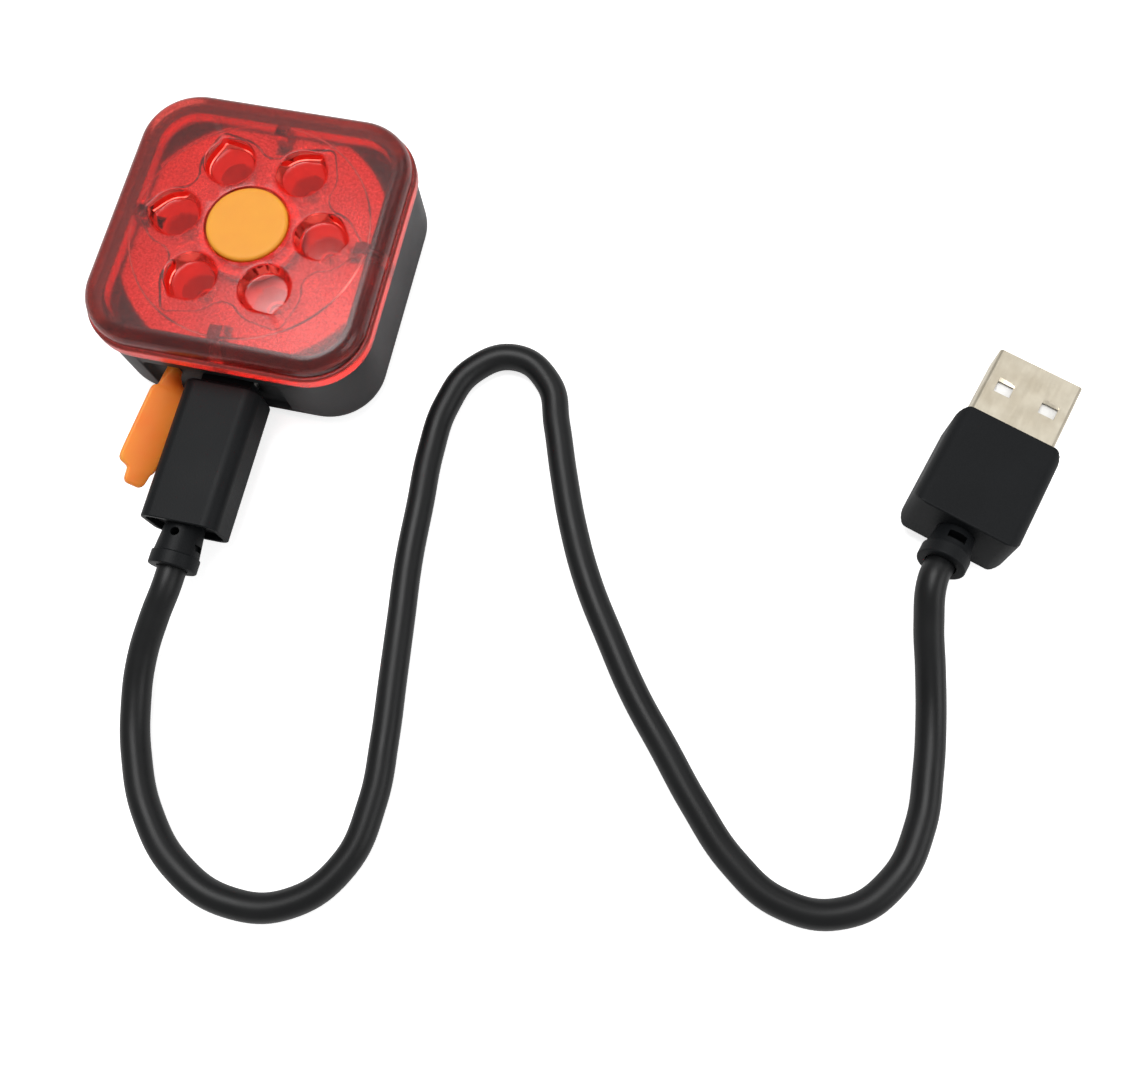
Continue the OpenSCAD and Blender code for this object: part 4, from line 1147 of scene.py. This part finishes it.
# %% Finishes of the other CAD pieces
FINISHES = {
    "lens_seal": seal_black, "circuit_board": board_white, "led_packages": led_white,
    "led_resin": led_amber, "led_resistors": chip_black, "switch_base": chip_black,
    "switch_cover": socket_steel, "switch_plunger": plunger_grey,
    "battery_cell": cell_foil, "battery_pad": pad_foam, "battery_lead_red": wire_red,
    "battery_lead_black": wire_black, "charge_chip": chip_black, "control_chip": chip_black,
    "socket_shell": socket_steel, "socket_tongue": chip_black, "socket_contacts": contact_gold,
    "small_plug_shell": socket_steel, "small_plug_insert": chip_black,
    "small_plug_contacts": contact_gold, "supply_plug_tongue": tongue_white,
    "supply_plug_contacts": contact_gold,
}
for node, material in FINISHES.items():
    paint(frame["nodes"][node], material)
print("CAD pieces with a finish:", len(FINISHES))

# %% [markdown]
# ## The rubber flap
# Flap and strap are one rubber moulding: the strap comes out of the wall, bends at a thin neck
# and widens into the flap. Sculpting could shape it, but a loft through a row of rounded
# rectangles keeps its sizes. The sections turn gradually at the neck.

# %% Sections of the flap
HINGE = Vector(next(j["pos_m"] for j in frame["joints"] if j["name"] == "flap_swing"))
FLAP_SWING, FLAP_LEAN = math.radians(-6), math.radians(-50)
BEND_FROM, BEND_L = -2.0, 3.6
CORNER_STEPS, CORNER_SHARE = 4, 0.55
# Along the flap from the hinge, half thickness, lowest and highest edge, all in millimetres.
FLAP_SECTIONS = [
    (-3.4, 0.6, -1.1, 1.1), (-2.0, 0.6, -1.3, 1.3), (-1.2, 0.58, -1.3, 1.3),
    (-0.5, 0.54, -1.4, 1.3), (0.1, 0.5, -1.9, 1.3), (0.7, 0.5, -2.5, 1.3),
    (1.3, 0.52, -2.85, 1.32), (1.55, 0.55, -2.95, 1.4), (1.7, 0.58, -3.0, 1.8),
    (1.9, 0.6, -3.05, 1.98), (2.3, 0.6, -3.1, 2.03), (3.0, 0.6, -3.15, 2.05),
    (4.0, 0.6, -3.15, 2.05), (6.0, 0.6, -3.15, 2.05), (9.0, 0.6, -3.15, 2.05),
    (12.0, 0.6, -3.15, 2.05), (12.9, 0.6, -3.1, 1.95), (13.3, 0.6, -2.95, 1.5),
    (13.5, 0.58, -2.75, 0.55), (13.9, 0.58, -2.65, 0.35), (14.9, 0.56, -2.6, 0.3),
    (15.5, 0.54, -2.4, 0.1), (15.8, 0.45, -2.0, -0.3),
]


def flap_ring(along, half, low, high):
    """Points of one section, swung and leaned more and more through the bend."""
    share = min(max((along - BEND_FROM) / BEND_L, 0), 1)
    share = share * share * (3 - 2 * share)
    swing = Matrix.Rotation(FLAP_SWING * (share if along < 0 else 1), 3, "Z")
    lean = Matrix.Rotation(FLAP_LEAN * share, 3, "Y")
    ahead = Vector((0, -along, 0)) * MM
    centre = swing @ ahead if along > 0 else ahead
    half_h, middle = (high - low) / 2, (high + low) / 2
    section = box_outline(half, half_h, min(half, half_h) * CORNER_SHARE, CORNER_STEPS)
    turned = [swing @ (lean @ Vector((x, 0, middle + z))) for x, z in section]
    return [HINGE + centre + point * MM for point in turned]


print("flap sections:", len(FLAP_SECTIONS), "from the hinge at", tuple(HINGE))

# %% [markdown]
# Subdivision Surface softens the loft, as rubber edges are.

# %% Flap


def make_flap():
    work = bmesh.new()
    rings = [[work.verts.new(p) for p in flap_ring(*section)] for section in FLAP_SECTIONS]
    closed_stack(work, rings)
    flap = outward_piece("rubber_flap", work)
    paint(flap, flap_rubber)
    smooth = flap.modifiers.new("soft_rubber", "SUBSURF")
    smooth.levels = smooth.render_levels = 1
    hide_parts("port_flap", "flap_strap")
    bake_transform(flap)
    return flap


flap = make_flap()
print("flap faces:", len(flap.data.polygons))

# %% [markdown]
# ## The cable
# The cable leaves the small plug straight, drops to the table, and runs in two loose waves to the
# supply plug. A chain of cylinders would show its joints. A Bezier curve through the route with a
# round bevel is a real cable of one length, and automatic handles keep it smooth through every
# point.

# %% Cable
CABLE_D = 3.8
CABLE_Z = 1.95
SKIN_STEPS, ROUTE_STEPS = 7, 10
FROM_SMALL_PLUG = [
    (0, -45, PORT_Z), (0, -48.5, PORT_Z), (-0.8, -52.5, 5.6), (-1.5, -58, 3.8),
    (-1, -63.5, 2.5)]
ON_TABLE = [
    (1, -70), (5, -77), (11, -82.5), (18.5, -85), (26, -83.5), (31.5, -77.5), (33, -69.5),
    (32.5, -61.5), (31.5, -53.5), (30.5, -45.5), (29.5, -37.5), (29, -29.5), (28.5, -21.5),
    (29, -14), (31.5, -8), (37, -5), (42.5, -8), (45, -14), (47.5, -21), (50.5, -28.5),
    (54, -35.5), (58.5, -42.5), (63, -49), (68, -55), (73, -61), (79, -67), (85.5, -70.5),
    (93, -70), (98.5, -65), (100.8, -58), (101, -51)]
TO_SUPPLY_PLUG = [
    (100.5, -44.5, 2.2), (99.4, -38.5, 3.4), (98, -33, 5.4), (97.35, -27.72, 7.27),
    (98.45, -24.51, 6.79)]
CABLE_ROUTE = FROM_SMALL_PLUG + [(x, y, CABLE_Z) for x, y in ON_TABLE] + TO_SUPPLY_PLUG


def make_cable():
    curve = bpy.data.curves.new("lead_cable", "CURVE")
    curve.dimensions = "3D"
    curve.bevel_depth = CABLE_D / 2 * MM
    curve.bevel_resolution = SKIN_STEPS
    curve.resolution_u = ROUTE_STEPS
    curve.use_fill_caps = True
    spline = curve.splines.new("BEZIER")
    spline.bezier_points.add(len(CABLE_ROUTE) - 1)
    for point, place in zip(spline.bezier_points, CABLE_ROUTE):
        point.co = Vector(place) * MM
        point.handle_left_type = point.handle_right_type = "AUTO"
    cable = bpy.data.objects.new("lead_cable", curve)
    scene.collection.objects.link(cable)
    curve.materials.append(sheath_black)
    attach(cable, "charging_lead")
    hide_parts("cable")
    return cable, spline.calc_length()


cable, cable_length = make_cable()
print("cable length:", round(cable_length, 4), "m")

# %% [markdown]

# %% [markdown]
